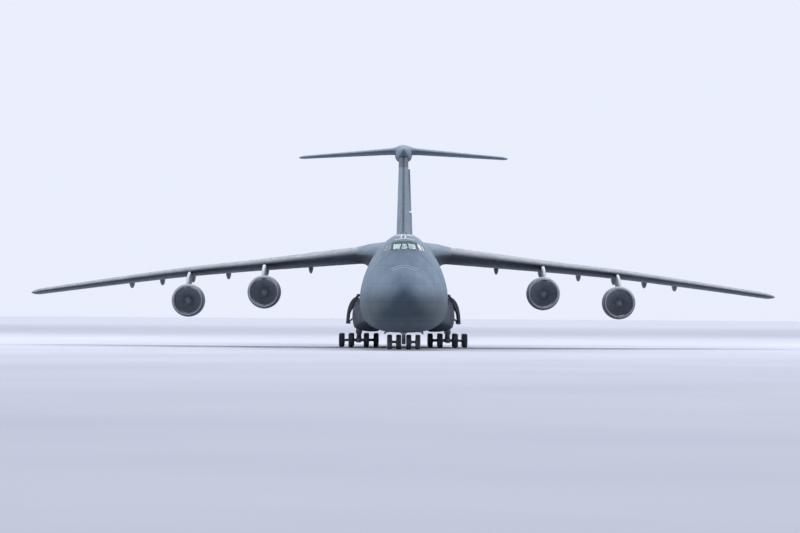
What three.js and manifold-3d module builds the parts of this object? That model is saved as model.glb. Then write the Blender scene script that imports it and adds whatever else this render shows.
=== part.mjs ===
// Four-engine military transport plane with an upward-opening nose, a high
// swept wing, a T-tail and twenty-eight wheels. It is a half-size model.
// Every size in the tables below is a full-size metre, measured from the nose
// tip (s, aft), the centre line (x, to port) and the ground (z, up).
// at() turns such a point into the model's millimetres: X to port, Y aft, Z up.
import * as THREE from "three";
import { mergeVertices } from "three/addons/utils/BufferGeometryUtils.js";
import Module from "manifold-3d";

const wasm = await Module();
wasm.setup();

// ---------------------------------------------------------------- dimensions
const MM = 500; // model millimetres in one full-size metre (scale 1:2)
const LENGTH = 75.31; // nose tip to the end of the tail bullet
const SPAN = 67.89;
const HEIGHT = 19.84;
const FIX_GAP = 0.0008; // between pieces that are fastened together
const MOVE_GAP = 0.016; // round a piece that moves

const HULL_SIDES = 28;
const HULL_UPPER = [1.73, 1.68]; // superellipse exponents across and up, upper lobe
const HULL_LOWER = [2.8, 2.8]; // and lower lobe
const WALL = 0.3; // hull wall
const FORE_WALL = 0.17; // ahead of station 22
const VISOR_WALL = 0.26;
const DOOR_WALL = 0.24;
const DECK_WALL = 0.08; // wall round the flight deck

const HOLD_FLOOR = 2.5;
const HOLD_CEILING = 6.6;
const HOLD_END = 47.5; // aft edge of the level floor
const RAMP_END = 53.4; // aft edge of the cargo ramp's bay
const DOORS_END = 61.4; // aft edge of the clamshell doors' bay
const DECK_FLOOR = 7.2;
const DECK_FRONT = 5.95;
const DECK_BACK = 12.0;

const VISOR_HINGE = { s: 5.3, z: 8.14 };
const VISOR_FOOT = { s: 9.3, z: 1.4 }; // where the break meets the belly
const RAMP_PIVOT = { s: 8.42, z: 2.42 };
const RAMP_HALF = 2.6;
const CREW_DOOR = { s0: 13.0, s1: 14.1, z0: 2.62, z1: 4.5 };
const CENTER_DOOR_HALF = 0.9;

const WING_LE = 21.5; // leading edge on the centre line
const WING_SWEEP = 0.5148; // aft for each metre outboard
const FLAP_FRACTION = 0.74; // of the chord, where the flaps start
const AILERON_FRACTION = 0.76;
const TYRE_R = 0.6225;
const TYRE_W = 0.432;
const TYRE_SIDES = 16;
const AXLE_R = 0.12;
const NOSE_GEAR_S = 11.1;
const MAIN_GEAR_X = 3.957;
const BOGIE_FORE = 0.9; // front axle ahead of the leg
const BOGIE_AFT = 0.751; // rear axle behind the leg
const WELL_TOP = 3.42; // roof of the main gear wells

// ------------------------------------------------------------------- tables
// hull sections: station, half width, height of greatest width, crown, keel
const HULL = [
  { s: 0.0, w: 0.12, zw: 4.2, top: 4.32, keel: 4.08 },
  { s: 0.3, w: 0.86, zw: 4.2, top: 4.96, keel: 3.44 },
  { s: 0.95, w: 1.48, zw: 4.2, top: 5.58, keel: 2.88 },
  { s: 2.0, w: 2.1, zw: 4.2, top: 6.26, keel: 2.34 },
  { s: 3.5, w: 2.66, zw: 4.22, top: 7.02, keel: 1.9 },
  { s: 5.3, w: 3.1, zw: 4.25, top: 8.12, keel: 1.62 },
  { s: 6.4, w: 3.26, zw: 4.28, top: 8.8, keel: 1.52 },
  { s: 7.4, w: 3.37, zw: 4.3, top: 9.22, keel: 1.46 },
  { s: 8.7, w: 3.48, zw: 4.3, top: 9.5, keel: 1.42 },
  { s: 12.0, w: 3.65, zw: 4.3, top: 9.72, keel: 1.4 },
  { s: 16.0, w: 3.72, zw: 4.3, top: 9.84, keel: 1.4 },
  { s: 46.0, w: 3.72, zw: 4.3, top: 9.84, keel: 1.4 },
  { s: HOLD_END, w: 3.7, zw: 4.36, top: 9.84, keel: 1.5 },
  { s: RAMP_END, w: 3.42, zw: 5.0, top: 9.82, keel: 2.82 },
  { s: DOORS_END, w: 2.32, zw: 6.7, top: 9.68, keel: 5.35 },
  { s: 66.5, w: 1.3, zw: 7.72, top: 9.4, keel: 6.86 },
  { s: 69.4, w: 0.6, zw: 8.2, top: 9.12, keel: 7.72 },
  { s: 70.3, w: 0.2, zw: 8.4, top: 8.72, keel: 8.14 },
];
// wing sections: distance outboard, middle height, thickness over chord
const WING = [
  { y: 1.2, z: 8.34, t: 0.12 },
  { y: 3.95, z: 8.09, t: 0.12 },
  { y: 12.1, z: 7.3, t: 0.112 },
  { y: 13.6, z: 7.16, t: 0.11 },
  { y: 19.0, z: 6.65, t: 0.11 },
  { y: 25.5, z: 5.85, t: 0.106 },
  { y: 33.1, z: 4.84, t: 0.104 },
  { y: 33.94, z: 4.73, t: 0.05 },
];
// wing chords: distance outboard, chord
const CHORDS = [
  { y: 0, c: 13.85 },
  { y: 13.6, c: 8.62 },
  { y: 33.1, c: 4.83 },
  { y: 33.94, c: 4.3 },
];
// flaps: name, inboard and outboard end, how far their hinge line hangs below
// the wing's middle at each end, and their track fairings' places
const FLAPS = [
  { name: "flap_inboard", y0: 4.3, y1: 13.25, drop0: 1.3, drop1: 1.04, tracks: [8.3, 12.3] },
  { name: "flap_outboard", y0: 13.95, y1: 25.1, drop0: 1.02, drop1: 0.81, tracks: [15.76, 19.02, 21.86, 24.7] },
];
const AILERON = { y0: 25.9, y1: 32.3 };
// engines: number, distance outboard, height, station of the intake lip
const ENGINES = [
  { n: 1, x: 18.88, z: 4.05, s: 25.6 },
  { n: 2, x: 12.09, z: 4.8, s: 22.0 },
  { n: 3, x: -12.09, z: 4.8, s: 22.0 },
  { n: 4, x: -18.88, z: 4.05, s: 25.6 },
];
const PYLON_OUT = 0.15;
// nacelle outline from the lip, round the outside and back through the duct:
// distance behind the lip, radius
const NACELLE = [
  [0.06, 1.18], [0.0, 1.24], [0.08, 1.32], [0.9, 1.44], [2.4, 1.43], [4.0, 1.26],
  [4.0, 1.2], [2.4, 1.22], [1.0, 1.17],
];
const CORE = [[1.62, 0], [1.62, 0.5], [2.3, 0.62], [3.9, 0.82], [6.1, 0.62], [6.1, 0.46], [7.4, 0.1], [7.4, 0]];
const FAN = [[0.62, 0], [0.72, 0.12], [1.12, 0.36], [1.16, 1.12], [1.3, 1.12], [1.34, 0.4], [1.6, 0.4], [1.6, 0]];
// tail bullet: station, radius
const BULLET = [[63.2, 0], [63.35, 0.2], [64.2, 0.52], [66.0, 0.79], [68.2, 0.85], [71.2, 0.8], [73.6, 0.5], [75.1, 0.12], [75.31, 0]];
const BULLET_Z = HEIGHT - 0.85;
// fin and tailplane sections: leading edge, chord, height or distance, thickness over chord
const FIN = [
  { le: 54.9, c: 11.4, z: 9.0, t: 0.118 },
  { le: 64.05, c: 7.5, z: 18.3, t: 0.116 },
];
const TAILPLANE = [
  { le: 65.3, c: 6.3, y: 0, z: 19.18, t: 0.105 },
  { le: 70.75, c: 2.75, y: 10.1, z: 18.65, t: 0.1 },
  { le: 71.05, c: 2.35, y: 10.47, z: 18.63, t: 0.05 },
];
const RUDDER_FRACTION = 0.7;
const ELEVATOR_FRACTION = 0.7;
// bogies: end of the aircraft, station of the leg
const BOGIES = [
  { end: "fore", s: 30.5 },
  { end: "aft", s: 36.1 },
];
// gear pod: station, how far its outline has grown from the hull side
const POD = [
  { s: 24.0, grow: 0.12 },
  { s: 25.6, grow: 0.62 },
  { s: 27.6, grow: 1 },
  { s: 39.2, grow: 1 },
  { s: 41.6, grow: 0.62 },
  { s: 43.8, grow: 0.12 },
];
// its outline seen from the front: distance outboard, height
const POD_OUTLINE = [
  [2.3, 1.6], [3.0, 1.45], [3.7, 1.56], [4.34, 1.8], [4.42, 2.1], [4.5, 2.7], [4.46, 3.4],
  [4.25, 3.96], [3.92, 4.36], [3.5, 4.7], [2.3, 4.9],
];
// open gear door seen from the front: distance outboard, height
const GEAR_DOOR = [[3.94, 4.46], [4.44, 4.06], [4.72, 3.45], [4.84, 2.75], [4.88, 2.08]];

// ------------------------------------------------------------------ helpers
const at = (x, s, z) => [x * MM, (s - LENGTH / 2) * MM, z * MM];

// straight-line reading of a table: column v at column k = value
function read(table, k, value, v) {
  const n = table.length - 1;
  let i = 0;
  while (i < n - 1 && value > table[i + 1][k]) i++;
  const a = table[i];
  const b = table[i + 1];
  return a[v] + ((b[v] - a[v]) * (value - a[k])) / (b[k] - a[k]);
}

// closed body through rings of equal length, with flat or ruled ends
function loft(rings) {
  const n = rings[0].length;
  const index = [];
  for (let i = 0; i + 1 < rings.length; i++)
    for (let k = 0; k < n; k++) {
      const a = i * n + k;
      const b = i * n + ((k + 1) % n);
      index.push(a, b, b + n, a, b + n, a + n);
    }
  const last = (rings.length - 1) * n;
  for (let k = 1; k + 1 < n; k++) index.push(0, k + 1, k, last, last + k, last + k + 1);
  const g = new THREE.BufferGeometry();
  g.setAttribute("position", new THREE.Float32BufferAttribute(rings.flat(2), 3));
  g.setIndex(index);
  return outward(g);
}

// turns the faces of a closed geometry outwards
function outward(g) {
  const p = g.attributes.position;
  const ix = g.index.array;
  const a = new THREE.Vector3();
  const b = new THREE.Vector3();
  const c = new THREE.Vector3();
  let volume = 0;
  for (let i = 0; i < ix.length; i += 3) {
    a.fromBufferAttribute(p, ix[i]);
    b.fromBufferAttribute(p, ix[i + 1]);
    c.fromBufferAttribute(p, ix[i + 2]);
    volume += a.dot(b.cross(c));
  }
  if (volume < 0) for (let i = 0; i < ix.length; i += 3) [ix[i], ix[i + 1]] = [ix[i + 1], ix[i]];
  return g;
}

// a solid for joining and cutting
function solid(geometry) {
  const g = geometry.clone();
  g.deleteAttribute("normal");
  g.deleteAttribute("uv");
  const m = outward(mergeVertices(g, 1e-3));
  return new wasm.Manifold(
    new wasm.Mesh({
      numProp: 3,
      vertProperties: new Float32Array(m.attributes.position.array),
      triVerts: new Uint32Array(m.index.array),
    }),
  );
}
const join = (...all) => all.reduce((a, b) => a.add(b));
const cut = (a, ...all) => all.reduce((s, b) => s.subtract(b), a);

function geometryOf(body) {
  const m = body.getMesh();
  const g = new THREE.BufferGeometry();
  const xyz = new Float32Array((m.vertProperties.length / m.numProp) * 3);
  for (let i = 0; i * m.numProp < m.vertProperties.length; i++)
    for (let k = 0; k < 3; k++) xyz[3 * i + k] = m.vertProperties[i * m.numProp + k];
  g.setAttribute("position", new THREE.BufferAttribute(xyz, 3));
  g.setIndex(Array.from(m.triVerts));
  return g;
}

// a box between two corners, in full-size metres
function block(x0, x1, s0, s1, z0, z1) {
  const g = new THREE.BoxGeometry((x1 - x0) * MM, (s1 - s0) * MM, (z1 - z0) * MM);
  g.translate(...at((x0 + x1) / 2, (s0 + s1) / 2, (z0 + z1) / 2));
  return solid(g);
}

// a round bar between two points
function bar(p, q, r, sides = 10) {
  const a = new THREE.Vector3(...at(...p));
  const b = new THREE.Vector3(...at(...q));
  const g = new THREE.CylinderGeometry(r * MM, r * MM, a.distanceTo(b), sides);
  g.applyQuaternion(
    new THREE.Quaternion().setFromUnitVectors(new THREE.Vector3(0, 1, 0), b.clone().sub(a).normalize()),
  );
  g.translate(...a.add(b).multiplyScalar(0.5).toArray());
  return solid(g);
}

// a flat shape in (s, z), thick across the aircraft
function slab(points, x0, x1) {
  const shape = new THREE.Shape(points.map(([s, z]) => new THREE.Vector2(at(0, s, z)[1], z * MM)));
  const g = new THREE.ExtrudeGeometry(shape, { depth: (x1 - x0) * MM, bevelEnabled: false, curveSegments: 1 });
  // the shape's plane (Y, Z) and its depth X
  g.applyMatrix4(new THREE.Matrix4().set(0, 0, 1, x0 * MM, 1, 0, 0, 0, 0, 1, 0, 0, 0, 0, 0, 1));
  return solid(g);
}

// a turned body on a line along the aircraft
function turned(profile, x, s, z, sides, grow = 0) {
  const g = new THREE.LatheGeometry(
    profile.map(([d, r]) => new THREE.Vector2(r > 0 ? (r + grow) * MM : 0, d * MM)),
    sides,
    Math.PI / sides,
  );
  g.translate(...[x * MM, at(0, s, 0)[1], z * MM]);
  return g;
}

// mirror across the centre line
function mirror(body) {
  const g = geometryOf(body);
  g.scale(-1, 1, 1);
  return solid(g);
}

// ------------------------------------------------------------------ the hull
function hullRing({ s, w, zw, top, keel }, grow) {
  const ring = [];
  for (let k = 0; k < HULL_SIDES; k++) {
    const a = (2 * Math.PI * k) / HULL_SIDES;
    const c = Math.abs(Math.cos(a)) < 1e-9 ? 0 : Math.cos(a);
    const q = Math.abs(Math.sin(a)) < 1e-9 ? 0 : Math.sin(a);
    const [m, n] = q > 0 ? HULL_UPPER : HULL_LOWER;
    const half = Math.max(w + grow, 0.05);
    const rise = Math.max((q > 0 ? top - zw : zw - keel) + grow, 0.05);
    ring.push(at(half * Math.sign(c) * Math.abs(c) ** (2 / m), s, zw + rise * Math.sign(q) * Math.abs(q) ** (2 / n)));
  }
  return ring;
}
function hullAt(s) {
  const row = { s };
  for (const v of ["w", "zw", "top", "keel"]) row[v] = read(HULL, "s", s, v);
  return row;
}
function hull(s0, s1, grow = 0) {
  const rows = [hullAt(s0), ...HULL.filter((r) => r.s > s0 + 1e-6 && r.s < s1 - 1e-6), hullAt(s1)];
  return solid(loft(rows.map((r) => hullRing(r, grow))));
}
// keel-side skin height on the ruling that lies at a share of the half width
function skinBelow(s, share) {
  const { zw, keel } = hullAt(s);
  return zw - (zw - keel) * (1 - share ** HULL_LOWER[0]) ** (1 / HULL_LOWER[1]);
}
const RULING = Math.cos((2 * Math.PI * 4) / HULL_SIDES) ** (2 / HULL_LOWER[0]); // clamshell hinge line
const bay = (s) => RULING * hullAt(Math.max(s, RAMP_END)).w;

// everything ahead of (or behind) the nose break, moved by a distance
function breakSide(ahead, shift) {
  const h = VISOR_HINGE;
  const f = VISOR_FOOT;
  const run = (z) => h.s + ((f.s - h.s) * (z - h.z)) / (f.z - h.z) + shift;
  const far = ahead ? -3 : LENGTH + 3;
  return slab([[run(-1), -1], [run(14), 14], [far, 14], [far, -1]], -6, 6);
}

const outer = hull(0, 70.3);
const skin = (grow) => hull(0, 70.3, grow);
const holdSpace = hull(5.4, HOLD_END, -WALL).intersect(block(-4, 4, 5, HOLD_END + 1, HOLD_FLOOR, HOLD_CEILING));
const foreHold = hull(5.4, 22.5, -FORE_WALL).intersect(block(-4, 4, 5, 22.5, HOLD_FLOOR, HOLD_CEILING));
const tailSpace = hull(HOLD_END, 63.5, -WALL).intersect(block(-4, 4, HOLD_END - 0.001, 62.6, 1, 7.3));
const deckSpace = hull(DECK_FRONT, DECK_BACK, -DECK_WALL).intersect(
  block(-4, 4, DECK_FRONT, DECK_BACK, DECK_FLOOR, 11),
);
// troop deck over the hold, behind the wing
const upperSpace = hull(36, 57, -WALL).intersect(block(-4, 4, 35.9, 57, 7.6, 11));
const noseWell = block(-0.8, 0.8, 9.95, 12.3, 0.5, HOLD_FLOOR - 0.12);

// windscreen panes: x and height ranges
const FRONT_PANES = [
  { x0: -0.24, x1: 0.24, z0: 8.28, z1: 8.74 },
  { x0: 0.34, x1: 0.96, z0: 8.26, z1: 8.74 },
  { x0: -0.96, x1: -0.34, z0: 8.26, z1: 8.74 },
];
// side panes, leaning aft: station, height
const SIDE_PANES = [
  [[6.3, 8.2], [6.62, 8.18], [7.28, 8.68], [7.0, 8.7]],
  [[6.78, 8.18], [7.2, 8.16], [7.8, 8.62], [7.44, 8.66]],
];
const windowCuts = join(
  ...FRONT_PANES.map((w) => block(w.x0, w.x1, 4.9, 7.6, w.z0, w.z1)),
  ...SIDE_PANES.flatMap((pane) => [slab(pane, 0.98, 2.8), slab(pane, -2.8, -0.98)]),
);

const visor = cut(outer.intersect(breakSide(true, -0.012)), hull(0.75, 10, -VISOR_WALL));

const crewHole = block(2.6, 4.4, CREW_DOOR.s0, CREW_DOOR.s1, CREW_DOOR.z0, CREW_DOOR.z1);
const fuselageForward = cut(
  outer.intersect(breakSide(false, 0.012)).intersect(block(-6, 6, -1, 22, -1, 14)),
  foreHold,
  deckSpace,
  windowCuts,
  crewHole,
  noseWell,
);
const fuselageCenter = cut(outer.intersect(block(-6, 6, 22 + FIX_GAP, 36, -1, 14)), holdSpace);

// clamshell bay, cut through the lower skin
const bayRing = (s, half, z0, z1) => [at(-half, s, z0), at(half, s, z0), at(half, s, z1), at(-half, s, z1)];
const rampBay = block(-bay(0), bay(0), HOLD_END, RAMP_END + 0.01, 0, 3.3);
const doorsBay = solid(
  loft([bayRing(RAMP_END, bay(RAMP_END), 0, 3.9), bayRing(DOORS_END, bay(DOORS_END), 0, 6.3)]),
);
const fuselageAft = cut(
  outer.intersect(block(-6, 6, 36 + FIX_GAP, 71, -1, 14)),
  holdSpace,
  upperSpace,
  tailSpace,
  rampBay,
  doorsBay,
);

const crewDoor = outer
  .subtract(hull(10, 16, -DOOR_WALL))
  .intersect(
    block(
      2.6, 4.4, CREW_DOOR.s0 + MOVE_GAP, CREW_DOOR.s1 - MOVE_GAP, CREW_DOOR.z0 + MOVE_GAP, CREW_DOOR.z1 - MOVE_GAP,
    ),
  );

const forwardRamp = join(
  block(-RAMP_HALF, RAMP_HALF, RAMP_PIVOT.s, RAMP_PIVOT.s + 0.18, RAMP_PIVOT.z + 0.02, 5.3),
  block(-2.45, 2.45, RAMP_PIVOT.s, RAMP_PIVOT.s + 0.18, 5.2, 6.4),
);

// cargo ramp: the belly skin below, a flat loading face above
const RAMP_TIP = 53.28;
const aftRamp = outer
  .intersect(block(-bay(0) + MOVE_GAP, bay(0) - MOVE_GAP, HOLD_END + MOVE_GAP, RAMP_TIP, 0, 4))
  .intersect(
    slab(
      [[47, 0], [47, 2.46], [HOLD_END, 2.46], [RAMP_TIP - 0.14, 3.2], [RAMP_TIP, 2.9], [RAMP_TIP, 0]],
      -3, 3,
    ),
  );
const doorSkin = hull(52, 62.5).subtract(hull(51.9, 62.6, -DOOR_WALL));
const DOORS_FRONT = RAMP_END + 0.07;
const CENTER_DOOR_END = DOORS_END - 0.05;
const SIDE_DOOR_END = DOORS_END - 0.09; // room to swing aft about its sloping hinge line
const doorRing = (s, x0, x1) => [at(x0, s, 0), at(x1, s, 0), at(x1, s, 7), at(x0, s, 7)];
const aftCenterDoor = doorSkin.intersect(
  block(-CENTER_DOOR_HALF, CENTER_DOOR_HALF, DOORS_FRONT, CENTER_DOOR_END, 0, 6.4),
);
const aftSideDoorLeft = doorSkin
  .intersect(
    solid(
      loft([
        doorRing(DOORS_FRONT, CENTER_DOOR_HALF + MOVE_GAP, bay(DOORS_FRONT) - MOVE_GAP),
        doorRing(SIDE_DOOR_END, CENTER_DOOR_HALF + MOVE_GAP, bay(SIDE_DOOR_END) - MOVE_GAP),
      ]),
    ),
  )
  .intersect(solid(loft([bayRing(52, 4, 0, 4.2), bayRing(62, 4, 0, 6.6)])));

// ------------------------------------------------- flight deck and its glass
const glassShell = cut(
  hull(DECK_FRONT, DECK_BACK, -DECK_WALL - FIX_GAP),
  hull(DECK_FRONT - 0.4, DECK_BACK + 0.4, -DECK_WALL - 0.045),
);
const windshield = glassShell.intersect(block(-3, 3, DECK_FRONT + 0.01, 8.25, 8.06, 8.86));

// seats: distance to port, station
const SEATS = [
  { x: 0.62, s: 8.0 },
  { x: -0.62, s: 8.0 },
  { x: -1.0, s: 9.6 },
];
const flightDeck = join(
  block(-1.75, 1.75, 7.0, 11.9, DECK_FLOOR + FIX_GAP, DECK_FLOOR + 0.08),
  block(-1.2, 1.2, 7.1, 7.42, DECK_FLOOR + 0.05, 8.1),
  block(-0.2, 0.2, 7.3, 8.6, DECK_FLOOR + 0.05, 7.75),
  ...SEATS.flatMap(({ x, s }) => [
    block(x - 0.26, x + 0.26, s - 0.26, s + 0.3, DECK_FLOOR + 0.05, 7.72),
    block(x - 0.26, x + 0.26, s + 0.2, s + 0.34, 7.6, 8.3),
    block(x - 0.13, x + 0.13, s + 0.22, s + 0.32, 8.25, 8.55),
  ]),
);

// ------------------------------------------------------------------ the wing
const STEPS = [0.02, 0.09, 0.24, 0.45, 0.7, 1];
const half = (x) => 5 * (0.2969 * Math.sqrt(x) - 0.126 * x - 0.3516 * x * x + 0.2843 * x ** 3 - 0.1015 * x ** 4);
// aerofoil ring; place(d, h) puts distance aft and height above the middle
function foil(c, t, grow, place) {
  const side = STEPS.map((x) => [x * c + (x === 1 ? grow : 0), half(x) * t * c + 0.02 + grow]);
  return [
    [-grow, 0],
    ...side,
    ...side.map(([x, h]) => [x, -h]).reverse(),
  ].map(([x, h]) => place(x, h));
}
const wingLE = (y) => WING_LE + WING_SWEEP * y;
const chord = (y) => read(CHORDS, "y", y, "c");
const wingZ = (y) => read(WING, "y", y, "z");
const wing = (grow = 0) =>
  solid(
    loft(
      WING.map(({ y, z, t }) => {
        const c = chord(y);
        const le = wingLE(y) + (y > 33.5 ? 0.35 : 0);
        return foil(c, t, grow, (d, h) => at(y, le + d, z + h));
      }),
    ),
  );

// cutter for a hinged surface: a prism along its hinge, its ends in two planes
function along(p0, p1, outline, n0, n1) {
  const a = new THREE.Vector3(...at(...p0));
  const b = new THREE.Vector3(...at(...p1));
  const u = b.clone().sub(a).normalize();
  const v = new THREE.Vector3(0, 1, 0).addScaledVector(u, -u.y).normalize();
  const w = u.clone().cross(v);
  if (w.z < 0 || (Math.abs(w.z) < 1e-6 && w.x < 0)) w.negate();
  const ring = (p, n) =>
    outline.map(([d, h]) => {
      const q = p.clone().addScaledVector(v, d * MM).addScaledVector(w, h * MM);
      return q.addScaledVector(u, p.clone().sub(q).dot(n) / u.dot(n)).toArray();
    });
  return solid(loft([ring(a, n0 ?? u), ring(b, n1 ?? u)]));
}
// shortens a hinge line at both ends
function shorter(p0, p1, d) {
  const f = d / Math.hypot(...p0.map((v, i) => v - p1[i]));
  const mid = (a, b, k) => a.map((v, i) => v + (b[i] - v) * k);
  return [mid(p0, p1, f), mid(p1, p0, f)];
}
const bluntNose = (len, tall, slope) => [[0, 0], [tall * slope, tall], [len, tall], [len, -tall], [tall * slope, -tall]];
const bay4 = (len, tall, front) => [[front, -tall], [front, tall], [len, tall], [len, -tall]];

// flap hinges hang below the wing, at the foot of the track fairings
const flapLine = (y) => wingLE(y) + FLAP_FRACTION * chord(y);
const surfaces = {};
let wingLeft = wing().subtract(skin(FIX_GAP));
for (const { name, y0, y1, drop0, drop1, tracks } of FLAPS) {
  const p0 = [y0, flapLine(y0), wingZ(y0) - drop0];
  const p1 = [y1, flapLine(y1), wingZ(y1) - drop1];
  const opening = along(p0, p1, [[0, 0], [0, 3], [6, 3], [6, 0]]);
  const [q0, q1] = shorter(p0, p1, 0.04);
  const panel = along(q0, q1, [[MOVE_GAP, 0.02], [MOVE_GAP, 3], [6, 3], [6, 0.02]]);
  let flap = wingLeft.intersect(panel);
  wingLeft = wingLeft.subtract(opening);
  for (const y of tracks) {
    const s = read([{ y: y0, s: p0[1] }, { y: y1, s: p1[1] }], "y", y, "s");
    const z = wingZ(y);
    const c = chord(y);
    const low = z - drop0 - ((drop1 - drop0) * (y - y0)) / (y1 - y0) + 0.06;
    const front = slab(
      [[s - 0.26 * c, z - 0.3], [s - 0.16 * c, low + 0.25], [s - 0.06 * c, low], [s + 0.2, low], [s + 0.2, z - 0.1], [s - 0.26 * c, z - 0.1]],
      y - 0.17, y + 0.17,
    ).subtract(opening);
    const back = slab(
      [[s - 0.2, low], [s + 0.08 * c, low + 0.08], [s + 0.3 * c, z - 0.1], [s + 0.3 * c, z - 0.02], [s + 0.16 * c, z], [s - 0.2, z - 0.05]],
      y - 0.17, y + 0.17,
    ).intersect(panel);
    wingLeft = wingLeft.add(front);
    flap = flap.add(back);
  }
  surfaces[name] = flap;
}
const hingeAt = (y) => [y, wingLE(y) + AILERON_FRACTION * chord(y), wingZ(y)];
{
  const [p0, p1] = [hingeAt(AILERON.y0), hingeAt(AILERON.y1)];
  const [q0, q1] = shorter(p0, p1, 0.03);
  surfaces.aileron = wingLeft.intersect(along(q0, q1, bluntNose(4, 1, 0.6)));
  wingLeft = wingLeft.subtract(along(p0, p1, bay4(4, 1, -MOVE_GAP)));
}

// ------------------------------------------------------------------ the tail
const finRing = (row, grow) => foil(row.c, row.t, grow, (d, h) => at(h, row.le + d, row.z));
const finSolid = solid(loft(FIN.map((row) => finRing(row, 0))));
const bulletGeometry = (grow) =>
  turned(BULLET.map(([d, r]) => [d - BULLET[0][0], r]), 0, BULLET[0][0], BULLET_Z, 20, grow);
const bullet = solid(bulletGeometry(0));
const bulletWide = solid(bulletGeometry(FIX_GAP * 2));
const finHinge = (z) => {
  const f = (z - FIN[0].z) / (FIN[1].z - FIN[0].z);
  const le = FIN[0].le + (FIN[1].le - FIN[0].le) * f;
  const c = FIN[0].c + (FIN[1].c - FIN[0].c) * f;
  return [0, le + RUDDER_FRACTION * c, z];
};
// rudder halves: name, lower and upper end, and how far they rest turned to port
const RUDDERS = [
  { name: "rudder_lower", z0: 10.62, z1: 12.98, rest: 20 },
  { name: "rudder_upper", z0: 13.16, z1: 17.4, rest: 19 },
];
// turns a body about the line from p to q
function turn(body, p, q, degrees) {
  const a = new THREE.Vector3(...at(...p));
  const axis = new THREE.Vector3(...at(...q)).sub(a).normalize();
  const g = geometryOf(body);
  g.translate(-a.x, -a.y, -a.z);
  g.applyQuaternion(new THREE.Quaternion().setFromAxisAngle(axis, THREE.MathUtils.degToRad(degrees)));
  g.translate(a.x, a.y, a.z);
  return solid(g);
}
const UP = new THREE.Vector3(0, 0, 1);
let fin = cut(finSolid, skin(FIX_GAP), bulletWide);
for (const { name, z0, z1, rest } of RUDDERS)
  surfaces[name] = turn(
    finSolid.intersect(along(finHinge(z0), finHinge(z1), bluntNose(5, 1, 0.78), UP, UP)),
    finHinge(z0), finHinge(z1), -rest,
  );
fin = fin.subtract(
  along(finHinge(RUDDERS[0].z0 - 0.14), finHinge(RUDDERS[1].z1 + 0.14), bay4(5, 1, -MOVE_GAP), UP, UP),
);

const tailHalf = solid(
  loft(TAILPLANE.map((row) => foil(row.c, row.t, 0, (d, h) => at(row.y, row.le + d, row.z + h)))),
);
const tailAt = (y, f) => {
  const le = read(TAILPLANE, "y", y, "le");
  return [y, le + f * read(TAILPLANE, "y", y, "c"), read(TAILPLANE, "y", y, "z")];
};
const [e0, e1] = [tailAt(1.4, ELEVATOR_FRACTION), tailAt(8.6, ELEVATOR_FRACTION)];
const [f0, f1] = shorter(e0, e1, 0.03);
surfaces.elevator = tailHalf.intersect(along(f0, f1, bluntNose(4, 1, 0.6)));
const tailLeft = tailHalf.subtract(along(e0, e1, bay4(4, 1, -MOVE_GAP)));
const tailplane = join(bullet, tailLeft, mirror(tailLeft));

// --------------------------------------------------------------- the engines
function nacelle(e) {
  const shell = solid(turned([...NACELLE, NACELLE[0]], e.x, e.s, e.z, TYRE_SIDES));
  const core = solid(turned(CORE, e.x, e.s, e.z, TYRE_SIDES));
  return join(
    shell,
    core,
    block(e.x - 0.09, e.x + 0.09, e.s + 2.3, e.s + 3.5, e.z - 1.24, e.z + 1.24),
    block(e.x - 1.24, e.x + 1.24, e.s + 2.3, e.s + 3.5, e.z - 0.09, e.z + 0.09),
  );
}
// the pylon stands a little outboard of its engine's middle
function pylon(e, wingBody) {
  const x = e.x + Math.sign(e.x) * PYLON_OUT;
  const y = Math.abs(x);
  const le = wingLE(y);
  const c = chord(y);
  const z = wingZ(y);
  const plate = slab(
    [
      [e.s + 1.5, e.z + 1.2], [le + 0.02 * c, z + 0.02], [le + 0.2 * c, z], [le + 0.48 * c, z - 0.1],
      [le + 0.5 * c, z - 0.6], [le + 0.3 * c, z - 1.25], [e.s + 6.4, e.z + 0.5], [e.s + 4.0, e.z + 0.5], [e.s + 2.0, e.z + 1.0],
    ],
    x - 0.2,
    x + 0.2,
  );
  const outside = [[-0.01, 0], [-0.01, 1.26], [0.08, 1.34], [0.9, 1.44], [2.4, 1.43], [4.002, 1.26], [4.002, 0]];
  return cut(
    plate,
    wingBody,
    solid(turned(outside, e.x, e.s, e.z, TYRE_SIDES, FIX_GAP * 2)),
    solid(turned(CORE, e.x, e.s, e.z, TYRE_SIDES, FIX_GAP * 2)),
  );
}
const fan = (e) => solid(turned(FAN, e.x, e.s, e.z, TYRE_SIDES));

// ---------------------------------------------------------- the landing gear
// tyres on one axle: their places across, and the axle's two ends
function wheels(xs, x0, x1, s) {
  const profile = [[x0, 0], [x0, AXLE_R]];
  for (const x of xs)
    profile.push([x - TYRE_W / 2, AXLE_R], [x - TYRE_W / 2, TYRE_R / Math.cos(Math.PI / TYRE_SIDES)],
      [x + TYRE_W / 2, TYRE_R / Math.cos(Math.PI / TYRE_SIDES)], [x + TYRE_W / 2, AXLE_R]);
  profile.push([x1, AXLE_R], [x1, 0]);
  const g = new THREE.LatheGeometry(
    profile.map(([x, r]) => new THREE.Vector2(r * MM, x * MM)), TYRE_SIDES, Math.PI / TYRE_SIDES);
  g.applyMatrix4(new THREE.Matrix4().set(0, 1, 0, 0, 1, 0, 0, 0, 0, 0, -1, 0, 0, 0, 0, 1));
  g.translate(...at(0, s, TYRE_R));
  return solid(g);
}
const NOSE_XS = [0.42, 1.18];
const noseWheels = wheels(NOSE_XS, 0.19, 1.42, NOSE_GEAR_S);
const noseLeg = join(
  bar([0, NOSE_GEAR_S, 1.32], [0, NOSE_GEAR_S, HOLD_FLOOR - 0.13], 0.27, 12),
  block(-0.6, 0.6, NOSE_GEAR_S - 0.12, NOSE_GEAR_S + 0.12, 2.1, 2.3),
);
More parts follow.
